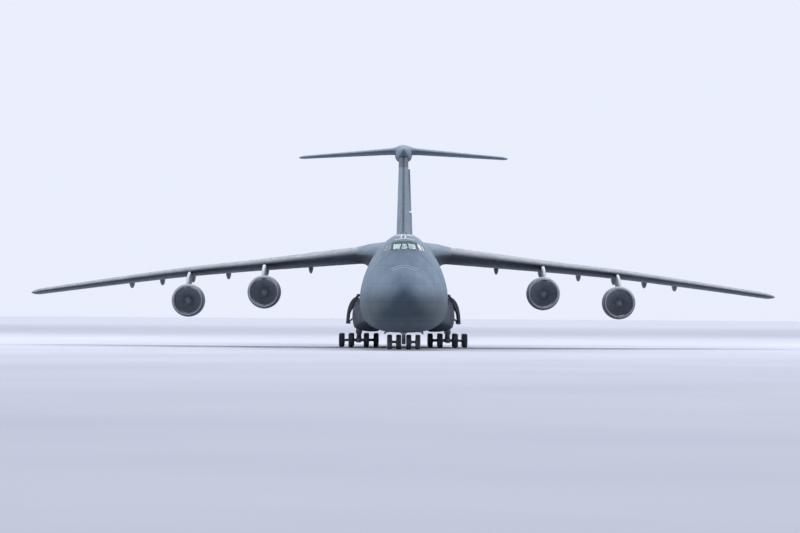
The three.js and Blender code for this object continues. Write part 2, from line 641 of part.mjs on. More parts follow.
const noseSteering = join(
  bar([0, NOSE_GEAR_S, 0.5], [0, NOSE_GEAR_S, 1.305], 0.17, 12),
  block(-0.17, 0.17, NOSE_GEAR_S - 0.2, NOSE_GEAR_S + 0.2, TYRE_R - 0.2, TYRE_R + 0.2),
  block(-0.1, 0.1, NOSE_GEAR_S - 0.42, NOSE_GEAR_S, TYRE_R - 0.1, TYRE_R + 0.1),
);

const bore = (x, s) => bar([x - 1, s, TYRE_R], [x + 1, s, TYRE_R], AXLE_R + MOVE_GAP, 12);
function beam(x, s) {
  return cut(
    join(
      block(x - 0.2, x + 0.2, s - BOGIE_FORE - 0.26, s + BOGIE_AFT + 0.26, TYRE_R - 0.22, TYRE_R + 0.2),
      bar([x, s, TYRE_R], [x, s, 1.25], 0.2, 12),
    ),
    bore(x, s - BOGIE_FORE),
    bore(x, s + BOGIE_AFT),
  );
}
function upperLeg(x, s) {
  return join(
    bar([x, s, 1.34], [x, s, WELL_TOP - FIX_GAP], 0.26, 12),
    bar([x, s, 1.9], [x, s - 0.95, 3.2], 0.1, 8),
    block(x - 0.24, x + 0.24, s - 0.5, s + 0.5, 1.72, 1.98),
  );
}

// gear pod along the hull side, with a well for each leg
function pod() {
  const rings = POD.map(({ s, grow }) =>
    POD_OUTLINE.map(([x, z]) => at(3.05 + (x - 3.05) * (x > 3.05 ? grow : 1), s, 3.2 + (z - 3.2) * (0.45 + 0.55 * grow))));
  let body = solid(loft(rings)).subtract(skin(FIX_GAP));
  for (const { s } of BOGIES)
    body = body.subtract(block(MAIN_GEAR_X - 0.95, MAIN_GEAR_X + 0.36, s - 1.15, s + 1.15, 0, WELL_TOP));
  return body;
}
const podLeft = pod();

// two open doors on one hinge tube
function gearDoors() {
  const t = 0.17;
  const normal = (i) => {
    const a = GEAR_DOOR[Math.max(i - 1, 0)];
    const b = GEAR_DOOR[Math.min(i + 1, GEAR_DOOR.length - 1)];
    const l = Math.hypot(b[0] - a[0], b[1] - a[1]);
    return [(-(b[1] - a[1]) * t) / l, ((b[0] - a[0]) * t) / l];
  };
  const outline = [
    ...GEAR_DOOR,
    ...GEAR_DOOR.map(([x, z], i) => [x + normal(i)[0], z + normal(i)[1]]).reverse(),
  ];
  const doors = BOGIES.map(({ s }) => {
    const shape = new THREE.Shape(outline.map(([x, z]) => new THREE.Vector2(x * MM, z * MM)));
    const g = new THREE.ExtrudeGeometry(shape, { depth: 4.5 * MM, bevelEnabled: false });
    // the shape's plane (X, Z), its depth forward along -Y
    g.applyMatrix4(new THREE.Matrix4().set(1, 0, 0, 0, 0, 0, -1, at(0, s + 2.25, 0)[1], 0, 1, 0, 0, 0, 0, 0, 1));
    return solid(g);
  });
  return join(...doors, bar([4.06, 28.1, 4.64], [4.06, 38.5, 4.64], 0.1, 8)).subtract(podLeft);
}
const doorsLeft = gearDoors();

// ------------------------------------------------------------- the assembly
const paint = (color, roughness = 0.75, metalness = 0.1) =>
  new THREE.MeshStandardMaterial({ color, roughness, metalness });
const GREY = 0x6f7a82;
const aircraft = new THREE.Group();
function put(name, body, material) {
  const mesh = new THREE.Mesh(geometryOf(body), material);
  mesh.name = name;
  aircraft.add(mesh);
}
const pair = (name, body, material) => {
  put(`${name}_left`, body, material());
  put(`${name}_right`, mirror(body), material());
};

put("visor", visor, paint(GREY));
put("fuselage_forward", fuselageForward, paint(GREY));
put("fuselage_center", fuselageCenter, paint(GREY));
put("fuselage_aft", fuselageAft, paint(GREY));
put("flight_deck", flightDeck, paint(0x3c4144, 0.9, 0));
put("windshield", windshield, paint(0x8fa39b, 0.1, 0));
put("forward_ramp", forwardRamp, paint(0x8a9092));
put("aft_ramp", aftRamp, paint(GREY));
put("aft_center_door", aftCenterDoor, paint(GREY));
pair("aft_side_door", aftSideDoorLeft, () => paint(GREY));
put("crew_door", crewDoor, paint(GREY));
pair("wing", wingLeft, () => paint(GREY));
pair("aileron", surfaces.aileron, () => paint(GREY));
pair("flap_inboard", surfaces.flap_inboard, () => paint(GREY));
pair("flap_outboard", surfaces.flap_outboard, () => paint(GREY));
put("fin", fin, paint(GREY));
put("rudder_upper", surfaces.rudder_upper, paint(GREY));
put("rudder_lower", surfaces.rudder_lower, paint(GREY));
put("tailplane", tailplane, paint(GREY));
pair("elevator", surfaces.elevator, () => paint(GREY));
const wideWing = wing(FIX_GAP);
const wideWings = { 1: wideWing, [-1]: mirror(wideWing) };
for (const e of ENGINES) {
  put(`pylon_${e.n}`, pylon(e, wideWings[Math.sign(e.x)]), paint(GREY));
  put(`engine_${e.n}`, nacelle(e), paint(GREY, 0.6, 0.3));
  put(`fan_${e.n}`, fan(e), paint(0x2b2e31, 0.4, 0.8));
}
put("nose_gear_leg", noseLeg, paint(0xb9bec1, 0.5, 0.5));
put("nose_gear_steering", noseSteering, paint(0xb9bec1, 0.5, 0.5));
pair("nose_wheels", noseWheels, () => paint(0x1c1d1f, 0.9, 0));
for (const { end, s } of BOGIES)
  for (const [side, x] of [["left", MAIN_GEAR_X], ["right", -MAIN_GEAR_X]]) {
    const leg = upperLeg(x, s);
    const bogie = beam(x, s);
    if (end === "fore") {
      put(`main_leg_fore_${side}`, leg.add(bogie).add(bar([x, s, 1.2], [x, s, 1.4], 0.22, 12)), paint(0xb9bec1, 0.5, 0.5));
    } else {
      put(`main_leg_aft_${side}`, leg, paint(0xb9bec1, 0.5, 0.5));
      put(`main_bogie_aft_${side}`, bogie, paint(0xb9bec1, 0.5, 0.5));
    }
    put(`main_pair_${end}_${side}`, wheels([x - 0.673, x + 0.673], x - 0.93, x + 0.93, s - BOGIE_FORE), paint(0x1c1d1f, 0.9, 0));
    put(`main_quad_${end}_${side}`, wheels([x - 1.537, x - 0.673, x + 0.673, x + 1.537], x - 1.8, x + 1.8, s + BOGIE_AFT), paint(0x1c1d1f, 0.9, 0));
  }
pair("gear_pod", podLeft, () => paint(GREY));
pair("gear_doors", doorsLeft, () => paint(GREY));

export default aircraft;
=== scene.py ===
# Looks for the half-size military transport plane: skins, glass, engines,
# landing gear and interiors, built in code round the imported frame.
# Tables below are full-size metres (x to port, s aft of the nose tip, z up);
# P() turns them into the frame's metres.
import bpy, bmesh, math
import numpy as np
from mathutils import Vector, Matrix


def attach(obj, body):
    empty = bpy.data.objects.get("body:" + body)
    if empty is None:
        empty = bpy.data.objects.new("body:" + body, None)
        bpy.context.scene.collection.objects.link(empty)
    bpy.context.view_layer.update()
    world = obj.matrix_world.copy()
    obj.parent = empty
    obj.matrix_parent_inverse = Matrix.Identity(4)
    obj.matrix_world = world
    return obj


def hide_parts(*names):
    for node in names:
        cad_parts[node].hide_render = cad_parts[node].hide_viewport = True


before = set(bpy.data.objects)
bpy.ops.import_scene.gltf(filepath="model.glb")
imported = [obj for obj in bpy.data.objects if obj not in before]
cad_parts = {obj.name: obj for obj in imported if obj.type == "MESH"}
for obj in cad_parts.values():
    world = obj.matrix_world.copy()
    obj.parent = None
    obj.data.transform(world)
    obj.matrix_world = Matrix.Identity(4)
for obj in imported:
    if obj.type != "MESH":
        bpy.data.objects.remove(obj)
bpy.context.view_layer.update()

HALF = 0.5
LENGTH = 75.31
HEIGHT = 19.84
BODY = "airframe"


def P(x, s, z):
    return Vector((x * HALF, (s - LENGTH / 2) * HALF, z * HALF))


# ------------------------------------------------------------------ materials
def nodes_of(name):
    m = bpy.data.materials.new(name)
    m.use_nodes = True
    t = m.node_tree
    return m, t, t.nodes["Principled BSDF"]


class Net:
    """Small helper for wiring nodes."""

    def __init__(self, tree):
        self.t = tree

    def n(self, kind, ins=(), **props):
        node = self.t.nodes.new(kind)
        for k, v in props.items():
            setattr(node, k, v)
        for key, v in dict(ins).items():
            if isinstance(v, bpy.types.NodeSocket):
                self.t.links.new(v, node.inputs[key])
            else:
                node.inputs[key].default_value = v
        return node

    def math(self, op, a, b=0.0, c=0.0, clamp=False):
        node = self.n("ShaderNodeMath", {0: a, 1: b, 2: c}, operation=op, use_clamp=clamp)
        return node.outputs[0]

    def noise(self, vector, scale, detail=3.0, rough=0.5):
        return self.n("ShaderNodeTexNoise", {"Vector": vector, "Scale": scale, "Detail": detail, "Roughness": rough}).outputs["Fac"]

    def ramp(self, fac, stops):
        node = self.n("ShaderNodeValToRGB", {"Fac": fac})
        e = node.color_ramp.elements
        while len(e) < len(stops):
            e.new(0.5)
        for el, (pos, col) in zip(e, stops):
            el.position = pos
            el.color = (*col, 1) if len(col) == 3 else (col[0],) * 3 + (1,)
        return node.outputs["Color"]

    def mapped(self, vector, scale):
        return self.n("ShaderNodeMapping", {"Vector": vector, "Scale": scale}).outputs["Vector"]

    def mix(self, fac, a, b, blend="MIX"):
        node = self.t.nodes.new("ShaderNodeMix")
        node.data_type = "RGBA"
        node.blend_type = blend
        for key, v in (("Factor", fac), ("A", a), ("B", b)):
            sock = [s for s in node.inputs if s.name == key and (s.type == "RGBA" or key == "Factor" and s.type == "VALUE")][0]
            if isinstance(v, bpy.types.NodeSocket):
                self.t.links.new(v, sock)
            else:
                sock.default_value = v if key == "Factor" else (*v, 1)
        return [s for s in node.outputs if s.type == "RGBA"][0]


def paint(name, base, panel=(3.0, 1.5), line=0.02, spread=0.07, rough=(0.46, 0.66), grime=0.35, streak=(1.2, 0.5, 0.12), panels=True, edge=False, low=False, gloss=0.42):
    """Matte aircraft paint: panel-to-panel tone, lap lines, streaks, stains, faint waviness; edge adds painted shade
    and soiling at the leading edge, low adds painted shade on the lower flanks.
    """
    m, t, bsdf = nodes_of(name)
    g = Net(t)
    obj = g.n("ShaderNodeTexCoord").outputs["Object"]
    low_ = g.noise(obj, 0.35, 4.0, 0.55)
    fine = g.noise(obj, 3.1, 5.0, 0.6)
    streaks = g.noise(g.mapped(obj, streak), 2.2, 5.0, 0.62)
    b = base
    col = g.ramp(low_, [(0.3, tuple(c * (1 - spread) for c in b)), (0.7, tuple(c * (1 + spread) for c in b))])
    if panels:
        at = g.n("ShaderNodeAttribute", attribute_name="panel", attribute_type="GEOMETRY").outputs["Vector"]
        brick = g.n(
            "ShaderNodeTexBrick",
            {"Vector": at, "Color1": (0.9, 0.9, 0.9, 1), "Color2": (1.06, 1.06, 1.06, 1), "Mortar": (0.55, 0.55, 0.56, 1),
             "Scale": 1.0, "Mortar Size": line, "Mortar Smooth": 0.25, "Bias": 0.1, "Brick Width": panel[0], "Row Height": panel[1]},
            offset=0.5, squash=1.0,
        )
        col = g.mix(0.7, col, brick.outputs["Color"], "MULTIPLY")
    if edge:  # painted shade and soiling on the leading edge, darker towards the front by the share of the chord
        f = g.n("ShaderNodeSeparateXYZ", {0: at}).outputs[1]
        col = g.mix(1.0, col, g.ramp(g.math("MULTIPLY", f, 1 / 7.0), [(0.0, (0.42,) * 3), (0.02, (0.44,) * 3), (0.06, (0.56,) * 3), (0.11, (0.80,) * 3), (0.2, (1.0,) * 3)]), "MULTIPLY")
    if low:  # painted shade: the hull's lower flanks darkened by height, standing in for the shade under the hull
        zz = g.math("ADD", g.n("ShaderNodeSeparateXYZ", {0: obj}).outputs[2], g.math("MULTIPLY", low_, 0.3))
        col = g.mix(1.0, col, g.ramp(g.math("MULTIPLY", zz, 0.25), low), "MULTIPLY")
    stain = g.math("MULTIPLY", g.math("SUBTRACT", streaks, 0.46, clamp=True), 5.0 * grime, clamp=True)
    col = g.mix(stain, col, tuple(c * 0.62 for c in b))
    speck = g.math("MULTIPLY", g.math("SUBTRACT", fine, 0.58, clamp=True), 1.6, clamp=True)
    col = g.mix(speck, col, tuple(min(1, c * 1.32) for c in b))
    t.links.new(col, bsdf.inputs["Base Color"])
    r = g.n("ShaderNodeMapRange", {"Value": fine, "From Min": 0.3, "From Max": 0.7, "To Min": rough[0], "To Max": rough[1]}).outputs[0]
    t.links.new(r, bsdf.inputs["Roughness"])
    bsdf.inputs["Specular IOR Level"].default_value = gloss
    waves = g.noise(obj, 1.3, 2.0, 0.4)
    height = g.math("ADD", g.math("MULTIPLY", waves, 0.6), g.math("MULTIPLY", fine, 0.06))
    if panels:
        height = g.math("SUBTRACT", height, g.math("MULTIPLY", brick.outputs["Fac"], 0.25))
    bump = g.n("ShaderNodeBump", {"Height": height, "Strength": 0.35, "Distance": 0.02}).outputs["Normal"]
    t.links.new(bump, bsdf.inputs["Normal"])
    return m


def metal(name, base, rough=(0.25, 0.42), metallic=1.0, scratch=(1, 1, 14), dirt=0.3, dark=0.35, bump=0.15):
    """Bare or lightly soiled metal, brushed one way, with grime in patches."""
    m, t, bsdf = nodes_of(name)
    g = Net(t)
    obj = g.n("ShaderNodeTexCoord").outputs["Object"]
    brushed = g.noise(g.mapped(obj, scratch), 9.0, 4.0, 0.6)
    patch = g.noise(obj, 4.0, 5.0, 0.6)
    col = g.ramp(brushed, [(0.25, tuple(c * 0.86 for c in base)), (0.75, tuple(min(1, c * 1.08) for c in base))])
    soil = g.math("MULTIPLY", g.math("SUBTRACT", patch, 0.5, clamp=True), 4.0 * dirt, clamp=True)
    col = g.mix(soil, col, tuple(c * dark for c in base))
    t.links.new(col, bsdf.inputs["Base Color"])
    r = g.n("ShaderNodeMapRange", {"Value": brushed, "To Min": rough[0], "To Max": rough[1]}).outputs[0]
    t.links.new(g.math("ADD", r, g.math("MULTIPLY", soil, 0.25), clamp=True), bsdf.inputs["Roughness"])
    bsdf.inputs["Metallic"].default_value = metallic
    b = g.n("ShaderNodeBump", {"Height": brushed, "Strength": bump, "Distance": 0.004}).outputs["Normal"]
    t.links.new(b, bsdf.inputs["Normal"])
    return m


def rubber(name, base):
    m, t, bsdf = nodes_of(name)
    g = Net(t)
    obj = g.n("ShaderNodeTexCoord").outputs["Object"]
    n1 = g.noise(obj, 6.0, 5.0, 0.65)
    n2 = g.noise(obj, 60.0, 3.0, 0.5)
    col = g.ramp(n1, [(0.35, tuple(c * 0.75 for c in base)), (0.6, base), (0.78, tuple(c * 1.9 for c in base))])
    t.links.new(col, bsdf.inputs["Base Color"])
    t.links.new(g.n("ShaderNodeMapRange", {"Value": n1, "To Min": 0.7, "To Max": 0.92}).outputs[0], bsdf.inputs["Roughness"])
    bsdf.inputs["Specular IOR Level"].default_value = 0.3
    t.links.new(g.n("ShaderNodeBump", {"Height": n2, "Strength": 0.3, "Distance": 0.003}).outputs["Normal"], bsdf.inputs["Normal"])
    return m


def glass(name, tint, rough=0.06, clear=0.86):
    m, t, bsdf = nodes_of(name)
    g = Net(t)
    obj = g.n("ShaderNodeTexCoord").outputs["Object"]
    film = g.noise(obj, 5.0, 4.0, 0.6)
    t.links.new(g.ramp(film, [(0.3, tuple(c * 0.9 for c in tint)), (0.7, tint)]), bsdf.inputs["Base Color"])
    t.links.new(g.n("ShaderNodeMapRange", {"Value": film, "To Min": rough, "To Max": rough + 0.07}).outputs[0], bsdf.inputs["Roughness"])
    bsdf.inputs["Transmission Weight"].default_value = clear
    bsdf.inputs["IOR"].default_value = 1.22
    bsdf.inputs["Specular IOR Level"].default_value = 0.3
    return m


GREY = (0.112, 0.161, 0.220)
# painted shade: multipliers by height that darken the hull's lower flanks
FLANK_SHADE = [(0.3, (0.98, 0.90, 0.78)), (0.4, (0.565, 0.505, 0.43)), (0.52, (0.565, 0.53, 0.475)), (0.68, (0.98, 0.98, 0.98))]
MAT = {
    "hull": paint("grey_paint_hull", GREY, low=FLANK_SHADE, gloss=0.15, rough=(0.6, 0.82)),
    "visor": paint("grey_paint_visor", (0.109, 0.157, 0.216), panel=(2.6, 1.7), line=0.012, low=FLANK_SHADE, gloss=0.15, rough=(0.6, 0.82)),
    # edge=True: painted shade and soiling along the wing's leading edge
    "wing": paint("grey_paint_wing", (0.117, 0.160, 0.209), panel=(2.3, 1.0), line=0.022, streak=(0.6, 0.12, 0.5), grime=0.45, edge=True),
    "root": paint("grey_paint_root", (0.115, 0.154, 0.204), panel=(2.3, 1.0), line=0.022, grime=0.3, gloss=0.15, rough=(0.6, 0.82)),
    # painted shade: a dark copy of the root paint, for the root fairing's underside
    "belly": paint("grey_paint_underside_shade", (0.062, 0.075, 0.092), panel=(2.3, 1.0), line=0.022, grime=0.5),
    "track": paint("grey_paint_track", (0.100, 0.122, 0.150), panels=False, grime=0.5),
    "tail": paint("grey_paint_tail", (0.115, 0.155, 0.199), panel=(1.6, 1.0), line=0.025, gloss=0.25, rough=(0.6, 0.8)),
    "cap": paint("grey_paint_cap", (0.070, 0.088, 0.110), panels=False, grime=0.3, gloss=0.25, rough=(0.6, 0.8)),
    "pod": paint("grey_paint_pod", (0.120, 0.150, 0.190), panel=(1.8, 1.0), grime=0.5),
    "door": paint("grey_paint_door", (0.225, 0.255, 0.295), panel=(1.8, 1.0), grime=0.6),
    "nacelle": paint("grey_paint_nacelle", (0.102, 0.124, 0.152), panel=(1.35, 1.5), grime=0.5, streak=(0.5, 0.12, 0.5)),
    # painted highlight: pale paint for the pylons' front strip, a lighter panel that also stands for the light the edge
    # catches
    "edge": paint("grey_paint_edge_highlight", (0.27, 0.31, 0.36), panels=False, grime=0.3, spread=0.1),
    "plain": paint("grey_paint_plain", (0.106, 0.128, 0.156), panels=False, grime=0.5),
    "inside": paint("primer_inside", (0.30, 0.34, 0.30), panels=False, spread=0.12, grime=0.5, rough=(0.5, 0.7)),
    "floor_in": paint("deck_grey", (0.115, 0.12, 0.125), panels=False, spread=0.15, grime=0.6, rough=(0.4, 0.6)),
    "dark": paint("dark_seal", (0.028, 0.033, 0.036), panels=False, spread=0.2, grime=0.2, rough=(0.5, 0.75)),
    "gap": paint("panel_gap", (0.045, 0.052, 0.06), panels=False, spread=0.2, grime=0.1, rough=(0.6, 0.8)),
    "seam": paint("panel_seam", (0.078, 0.094, 0.115), panels=False, spread=0.2, grime=0.1, rough=(0.6, 0.8)),
    "frame": paint("windscreen_frame", (0.058, 0.098, 0.118), panels=False, spread=0.15, grime=0.2, gloss=0.1, rough=(0.65, 0.85)),
    "white": paint("white_marking", (0.33, 0.38, 0.44), panels=False, spread=0.05, grime=0.35, rough=(0.5, 0.7)),
    "arc": paint("pale_marking", (0.22, 0.27, 0.35), panels=False, spread=0.05, grime=0.35, gloss=0.15, rough=(0.6, 0.8)),
    "lip": metal("polished_lip", (0.58, 0.61, 0.66), rough=(0.3, 0.45), scratch=(1, 1, 3), dirt=0.18, dark=0.6),
    "duct": paint("intake_duct", (0.41, 0.46, 0.51), panels=False, spread=0.08, grime=0.25, rough=(0.5, 0.7)),
    "blade": metal("fan_blade", (0.47, 0.52, 0.57), rough=(0.45, 0.6), metallic=0.15, dirt=0.2, dark=0.6),
    "core": metal("core_metal", (0.26, 0.25, 0.24), rough=(0.3, 0.5), dirt=0.5, dark=0.3),
    "strut": metal("gear_white", (0.46, 0.48, 0.49), rough=(0.32, 0.5), metallic=0.1, scratch=(2, 2, 2), dirt=0.5, dark=0.28),
    "steel": metal("gear_steel", (0.30, 0.31, 0.32), rough=(0.3, 0.5), metallic=0.8, dirt=0.5),
    "chrome": metal("chrome_piston", (0.85, 0.86, 0.87), rough=(0.06, 0.16), scratch=(1, 1, 0.4), dirt=0.06, bump=0.03),
    "hub": metal("wheel_hub", (0.34, 0.35, 0.36), rough=(0.35, 0.5), metallic=0.4, dirt=0.6, dark=0.3),
    "tyre": rubber("tyre_rubber", (0.170, 0.185, 0.208)),
    "hose": rubber("hose_rubber", (0.028, 0.028, 0.030)),
    "spinner": paint("spinner_grey", (0.25, 0.285, 0.32), panels=False, spread=0.1, grime=0.3, rough=(0.5, 0.65)),
    # painted reflection: plates behind the panes, pale and dark as the glass's reflections look
    "shade": paint("sun_screen_reflection", (0.50, 0.62, 0.66), panels=False, spread=0.06, grime=0.15, rough=(0.7, 0.9)),
    "reflection_dark": paint("sun_screen_reflection_dark", (0.13, 0.22, 0.24), panels=False, spread=0.1, grime=0.25, rough=(0.7, 0.9)),
    "glass": glass("cockpit_glass", (0.72, 0.88, 0.88)),
    "lens": glass("lamp_lens", (0.75, 0.78, 0.78), 0.1, 0.35),
    "cabin": paint("cabin_grey", (0.10, 0.112, 0.118), panels=False, spread=0.12, grime=0.3, rough=(0.45, 0.65)),
    "seat": rubber("seat_cloth", (0.05, 0.06, 0.055)),
}


# ------------------------------------------------------------------- meshing
def make(name, verts, faces, mat, smooth=True, angle=32):
    me = bpy.data.meshes.new(name)
    me.from_pydata([tuple(v) for v in verts], [], faces)
    me.update()
    o = bpy.data.objects.new(name, me)
    bpy.context.collection.objects.link(o)
    if mat is not None:
        me.materials.append(MAT[mat] if isinstance(mat, str) else mat)
    tidy(o)
    if smooth:
        shade(o, angle)
    return o


def tidy(o):
    bm = bmesh.new()
    bm.from_mesh(o.data)
    bmesh.ops.recalc_face_normals(bm, faces=bm.faces)
    bm.to_mesh(o.data)
    bm.free()


def shade(o, angle=32):
    me = o.data
    me.shade_smooth()
    me.set_sharp_from_angle(angle=math.radians(angle))


def ring_loft(name, rings, mat, caps=True, closed=True, angle=32):
    """Body through rings of equal length."""
    n = len(rings[0])
    verts = [p for r in rings for p in r]
    faces = []
    for i in range(len(rings) - 1):
        for k in range(n if closed else n - 1):
            a, b = i * n + k, i * n + (k + 1) % n
            faces.append((a, b, b + n, a + n))
    if caps:
        faces.append(tuple(range(n)))
        last = (len(rings) - 1) * n
        faces.append(tuple(last + k for k in range(n)))
    return make(name, verts, faces, mat, angle=angle)


def box(name, x0, x1, s0, s1, z0, z1, mat="plain", bevel=0.0):
    c = [P(x, s, z) for x in (x0, x1) for s in (s0, s1) for z in (z0, z1)]
    f = [(0, 1, 3, 2), (4, 6, 7, 5), (0, 4, 5, 1), (2, 3, 7, 6), (0, 2, 6, 4), (1, 5, 7, 3)]
    o = make(name, c, f, mat, smooth=False)
    if bevel:
        soften(o, bevel)
    return o


def soften(o, width, segments=2, angle=30):
    """Rounds hard edges for good."""
    b = o.modifiers.new("b", "BEVEL")
    b.width = width * HALF
    b.segments = segments
    b.limit_method = "ANGLE"
    b.angle_limit = math.radians(angle)
    apply(o)
    shade(o, 40)


def apply(o):
    dg = bpy.context.evaluated_depsgraph_get()
    me = bpy.data.meshes.new_from_object(o.evaluated_get(dg))
    old = o.data
    o.modifiers.clear()
    o.data = me
    bpy.data.meshes.remove(old)


def prism(name, points, axis, lo, hi, mat="plain"):
    """A flat outline, thick along one axis. points are (s, z) for axis x, (x, z) for axis s, (x, s) for axis z."""
    def at(p, d):
        return {"x": lambda: P(d, p[0], p[1]), "s": lambda: P(p[0], d, p[1]), "z": lambda: P(p[0], p[1], d)}[axis]()
    n = len(points)
    verts = [at(p, lo) for p in points] + [at(p, hi) for p in points]
    faces = [tuple(range(n)), tuple(range(n, 2 * n))] + [(k, (k + 1) % n, n + (k + 1) % n, n + k) for k in range(n)]
    return make(name, verts, faces, mat, smooth=False)


def csg(o, *ops):
    """Applies (operation, other) in order; the others are used up."""
    for op, other in ops:
        others = other if isinstance(other, (list, tuple)) else [other]
        for c in others:
            m = o.modifiers.new("c", "BOOLEAN")
            m.operation = {"-": "DIFFERENCE", "+": "UNION", "&": "INTERSECT"}[op]
            m.solver = "MANIFOLD"
            m.material_mode = "TRANSFER"
            m.object = c
            apply(o)
    for op, other in ops:
        for c in other if isinstance(other, (list, tuple)) else [other]:
            if not c.get("keep"):
                bpy.data.objects.remove(c, do_unlink=True)
    return o


def keep(o):
    o["keep"] = 1
    o.hide_render = True
    return o


def drop(*objs):
    for o in objs:
        bpy.data.objects.remove(o, do_unlink=True)


def copy(o, name):
    c = bpy.data.objects.new(name, o.data.copy())
    bpy.context.collection.objects.link(c)
    return c


def mirrored(o, name):
    c = copy(o, name)
    c.data.transform(Matrix.Diagonal((-1, 1, 1, 1)))
    c.data.flip_normals()
    return c


def joined(name, objs):
    """One object out of several, materials kept."""
    objs = [o for o in objs if o is not None]
    mats, out = [], bmesh.new()
    me = bpy.data.meshes.new(name)
    for o in objs:
        tmp = o.data.copy()
        tmp.transform(o.matrix_world)
        index = []
        for m in tmp.materials:
            if m not in mats:
                mats.append(m)
            index.append(mats.index(m))
        ids = np.zeros(len(tmp.polygons), np.int32)
        tmp.polygons.foreach_get("material_index", ids)
        if index:
            tmp.polygons.foreach_set("material_index", np.array(index, np.int32)[np.minimum(ids, len(index) - 1)])
        out.from_mesh(tmp)
        bpy.data.meshes.remove(tmp)
    out.to_mesh(me)
    out.free()
    for m in mats:
        me.materials.append(m)
    for o in objs:
        bpy.data.objects.remove(o, do_unlink=True)
    j = bpy.data.objects.new(name, me)
    bpy.context.collection.objects.link(j)
    return j


def panel(o, fn):
    """Stores panel coordinates; fn takes arrays x, s, z in full-size metres."""
    me = o.data
    co = np.zeros(len(me.vertices) * 3, np.float32)
    me.vertices.foreach_get("co", co)
    co = co.reshape(-1, 3) / HALF
    u, v = fn(co[:, 0], co[:, 1] + LENGTH / 2, co[:, 2])
    a = me.attributes.get("panel") or me.attributes.new("panel", "FLOAT_VECTOR", "POINT")
    a.data.foreach_set("vector", np.stack([u, v, np.zeros_like(u)], 1).astype(np.float32).ravel())
    return o


def done(o, body, slot, *nodes):
    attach(o, body)
    if nodes:
        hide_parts(*nodes)
    return o


# monotone cubic through a table
def pchip(xs, ys, x):
    xs, ys, x = np.asarray(xs, float), np.asarray(ys, float), np.asarray(x, float)
    h, d = np.diff(xs), np.diff(ys) / np.diff(xs)
    m = np.zeros_like(ys)
    for i in range(1, len(xs) - 1):
        if d[i - 1] * d[i] > 0:
            w1, w2 = 2 * h[i] + h[i - 1], h[i] + 2 * h[i - 1]
            m[i] = (w1 + w2) / (w1 / d[i - 1] + w2 / d[i])
    m[0], m[-1] = d[0], d[-1]
    i = np.clip(np.searchsorted(xs, x) - 1, 0, len(xs) - 2)
    t = np.clip((x - xs[i]) / h[i], 0, 1)
    return (ys[i] * (1 + 2 * t) * (1 - t) ** 2 + m[i] * h[i] * t * (1 - t) ** 2
            + ys[i + 1] * t * t * (3 - 2 * t) + m[i + 1] * h[i] * t * t * (t - 1))


def tube(name, path, r, mat="steel", sides=14, caps=True, flat=False):
    """Round bar along points, mitred at its bends; r is one radius or one for each point."""
    pts = [Vector(p) for p in path]
    n = len(pts)
    rs = [r] * n if not hasattr(r, "__len__") else list(r)
    rings, up = [], None
    for i, p in enumerate(pts):
        d = (pts[min(i + 1, n - 1)] - pts[max(i - 1, 0)]).normalized()
        if up is None:
            up = Vector((0, 0, 1)) if abs(d.z) < 0.9 else Vector((1, 0, 0))
        a = d.cross(up).normalized()
        b = a.cross(d).normalized()
        up = b
        rings.append([p + (a * math.cos(t) + b * math.sin(t)) * rs[i] * HALF for t in (2 * math.pi * k / sides for k in range(sides))])
    return ring_loft(name, rings, mat, caps=caps, angle=40)


def turned(name, profile, centre, axis="y", sides=96, mat="plain", angle=28):
    """Body of revolution: profile is (distance along, radius); closed when it starts and ends on the axis, else a closed ring section."""
    onaxis = profile[0][1] < 1e-6 and profile[-1][1] < 1e-6
    pts = profile if onaxis else list(profile) + [profile[0]]
    verts, faces, rows = [], [], []
    for d, r in pts if onaxis else pts[:-1]:
        row = []
        if r < 1e-6:
            row = [len(verts)] * sides
            verts.append((d, 0.0, 0.0))
        else:
            for k in range(sides):
                a = 2 * math.pi * k / sides
                row.append(len(verts))
                verts.append((d, r * math.cos(a), r * math.sin(a)))
        rows.append(row)
    if not onaxis:
        rows.append(rows[0])
    for a, b in zip(rows, rows[1:]):
        for k in range(sides):
            q = [a[k], a[(k + 1) % sides], b[(k + 1) % sides], b[k]]
            f = [v for i, v in enumerate(q) if v not in q[:i]]
            if len(f) > 2:
                faces.append(tuple(f))
    c = Vector(centre)
    if axis == "y":
        vs = [P(c.x + u, c.y + d, c.z + v) for d, u, v in verts]
    elif axis == "x":
        vs = [P(c.x + d, c.y + u, c.z + v) for d, u, v in verts]
    else:
        vs = [P(c.x + u, c.y + v, c.z + d) for d, u, v in verts]
    return make(name, vs, faces, mat, angle=angle)


# ------------------------------------------------------------------- the hull
HULL = [  # station, half width, height of greatest width, crown, keel
    (0.0, 0.0, 4.2, 4.2, 4.2),
    (0.3, 0.86, 4.2, 4.96, 3.44),
    (0.95, 1.48, 4.2, 5.58, 2.88),
    (2.0, 2.1, 4.2, 6.26, 2.34),
    (3.5, 2.66, 4.22, 7.02, 1.9),
    (5.3, 3.1, 4.25, 8.12, 1.62),
    (6.4, 3.26, 4.28, 8.8, 1.52),
    (7.4, 3.37, 4.3, 9.22, 1.46),
    (8.7, 3.48, 4.3, 9.5, 1.42),
    (12.0, 3.65, 4.3, 9.72, 1.4),
    (16.0, 3.72, 4.3, 9.84, 1.4),
    (46.0, 3.72, 4.3, 9.84, 1.4),
    (47.5, 3.7, 4.36, 9.84, 1.5),
    (53.4, 3.42, 5.0, 9.82, 2.82),
    (61.4, 2.32, 6.7, 9.68, 5.35),
    (66.5, 1.3, 7.72, 9.4, 6.86),
    (69.4, 0.6, 8.2, 9.12, 7.72),
    (70.3, 0.2, 8.4, 8.72, 8.14),
]
_q = [math.sqrt(r[0]) for r in HULL]


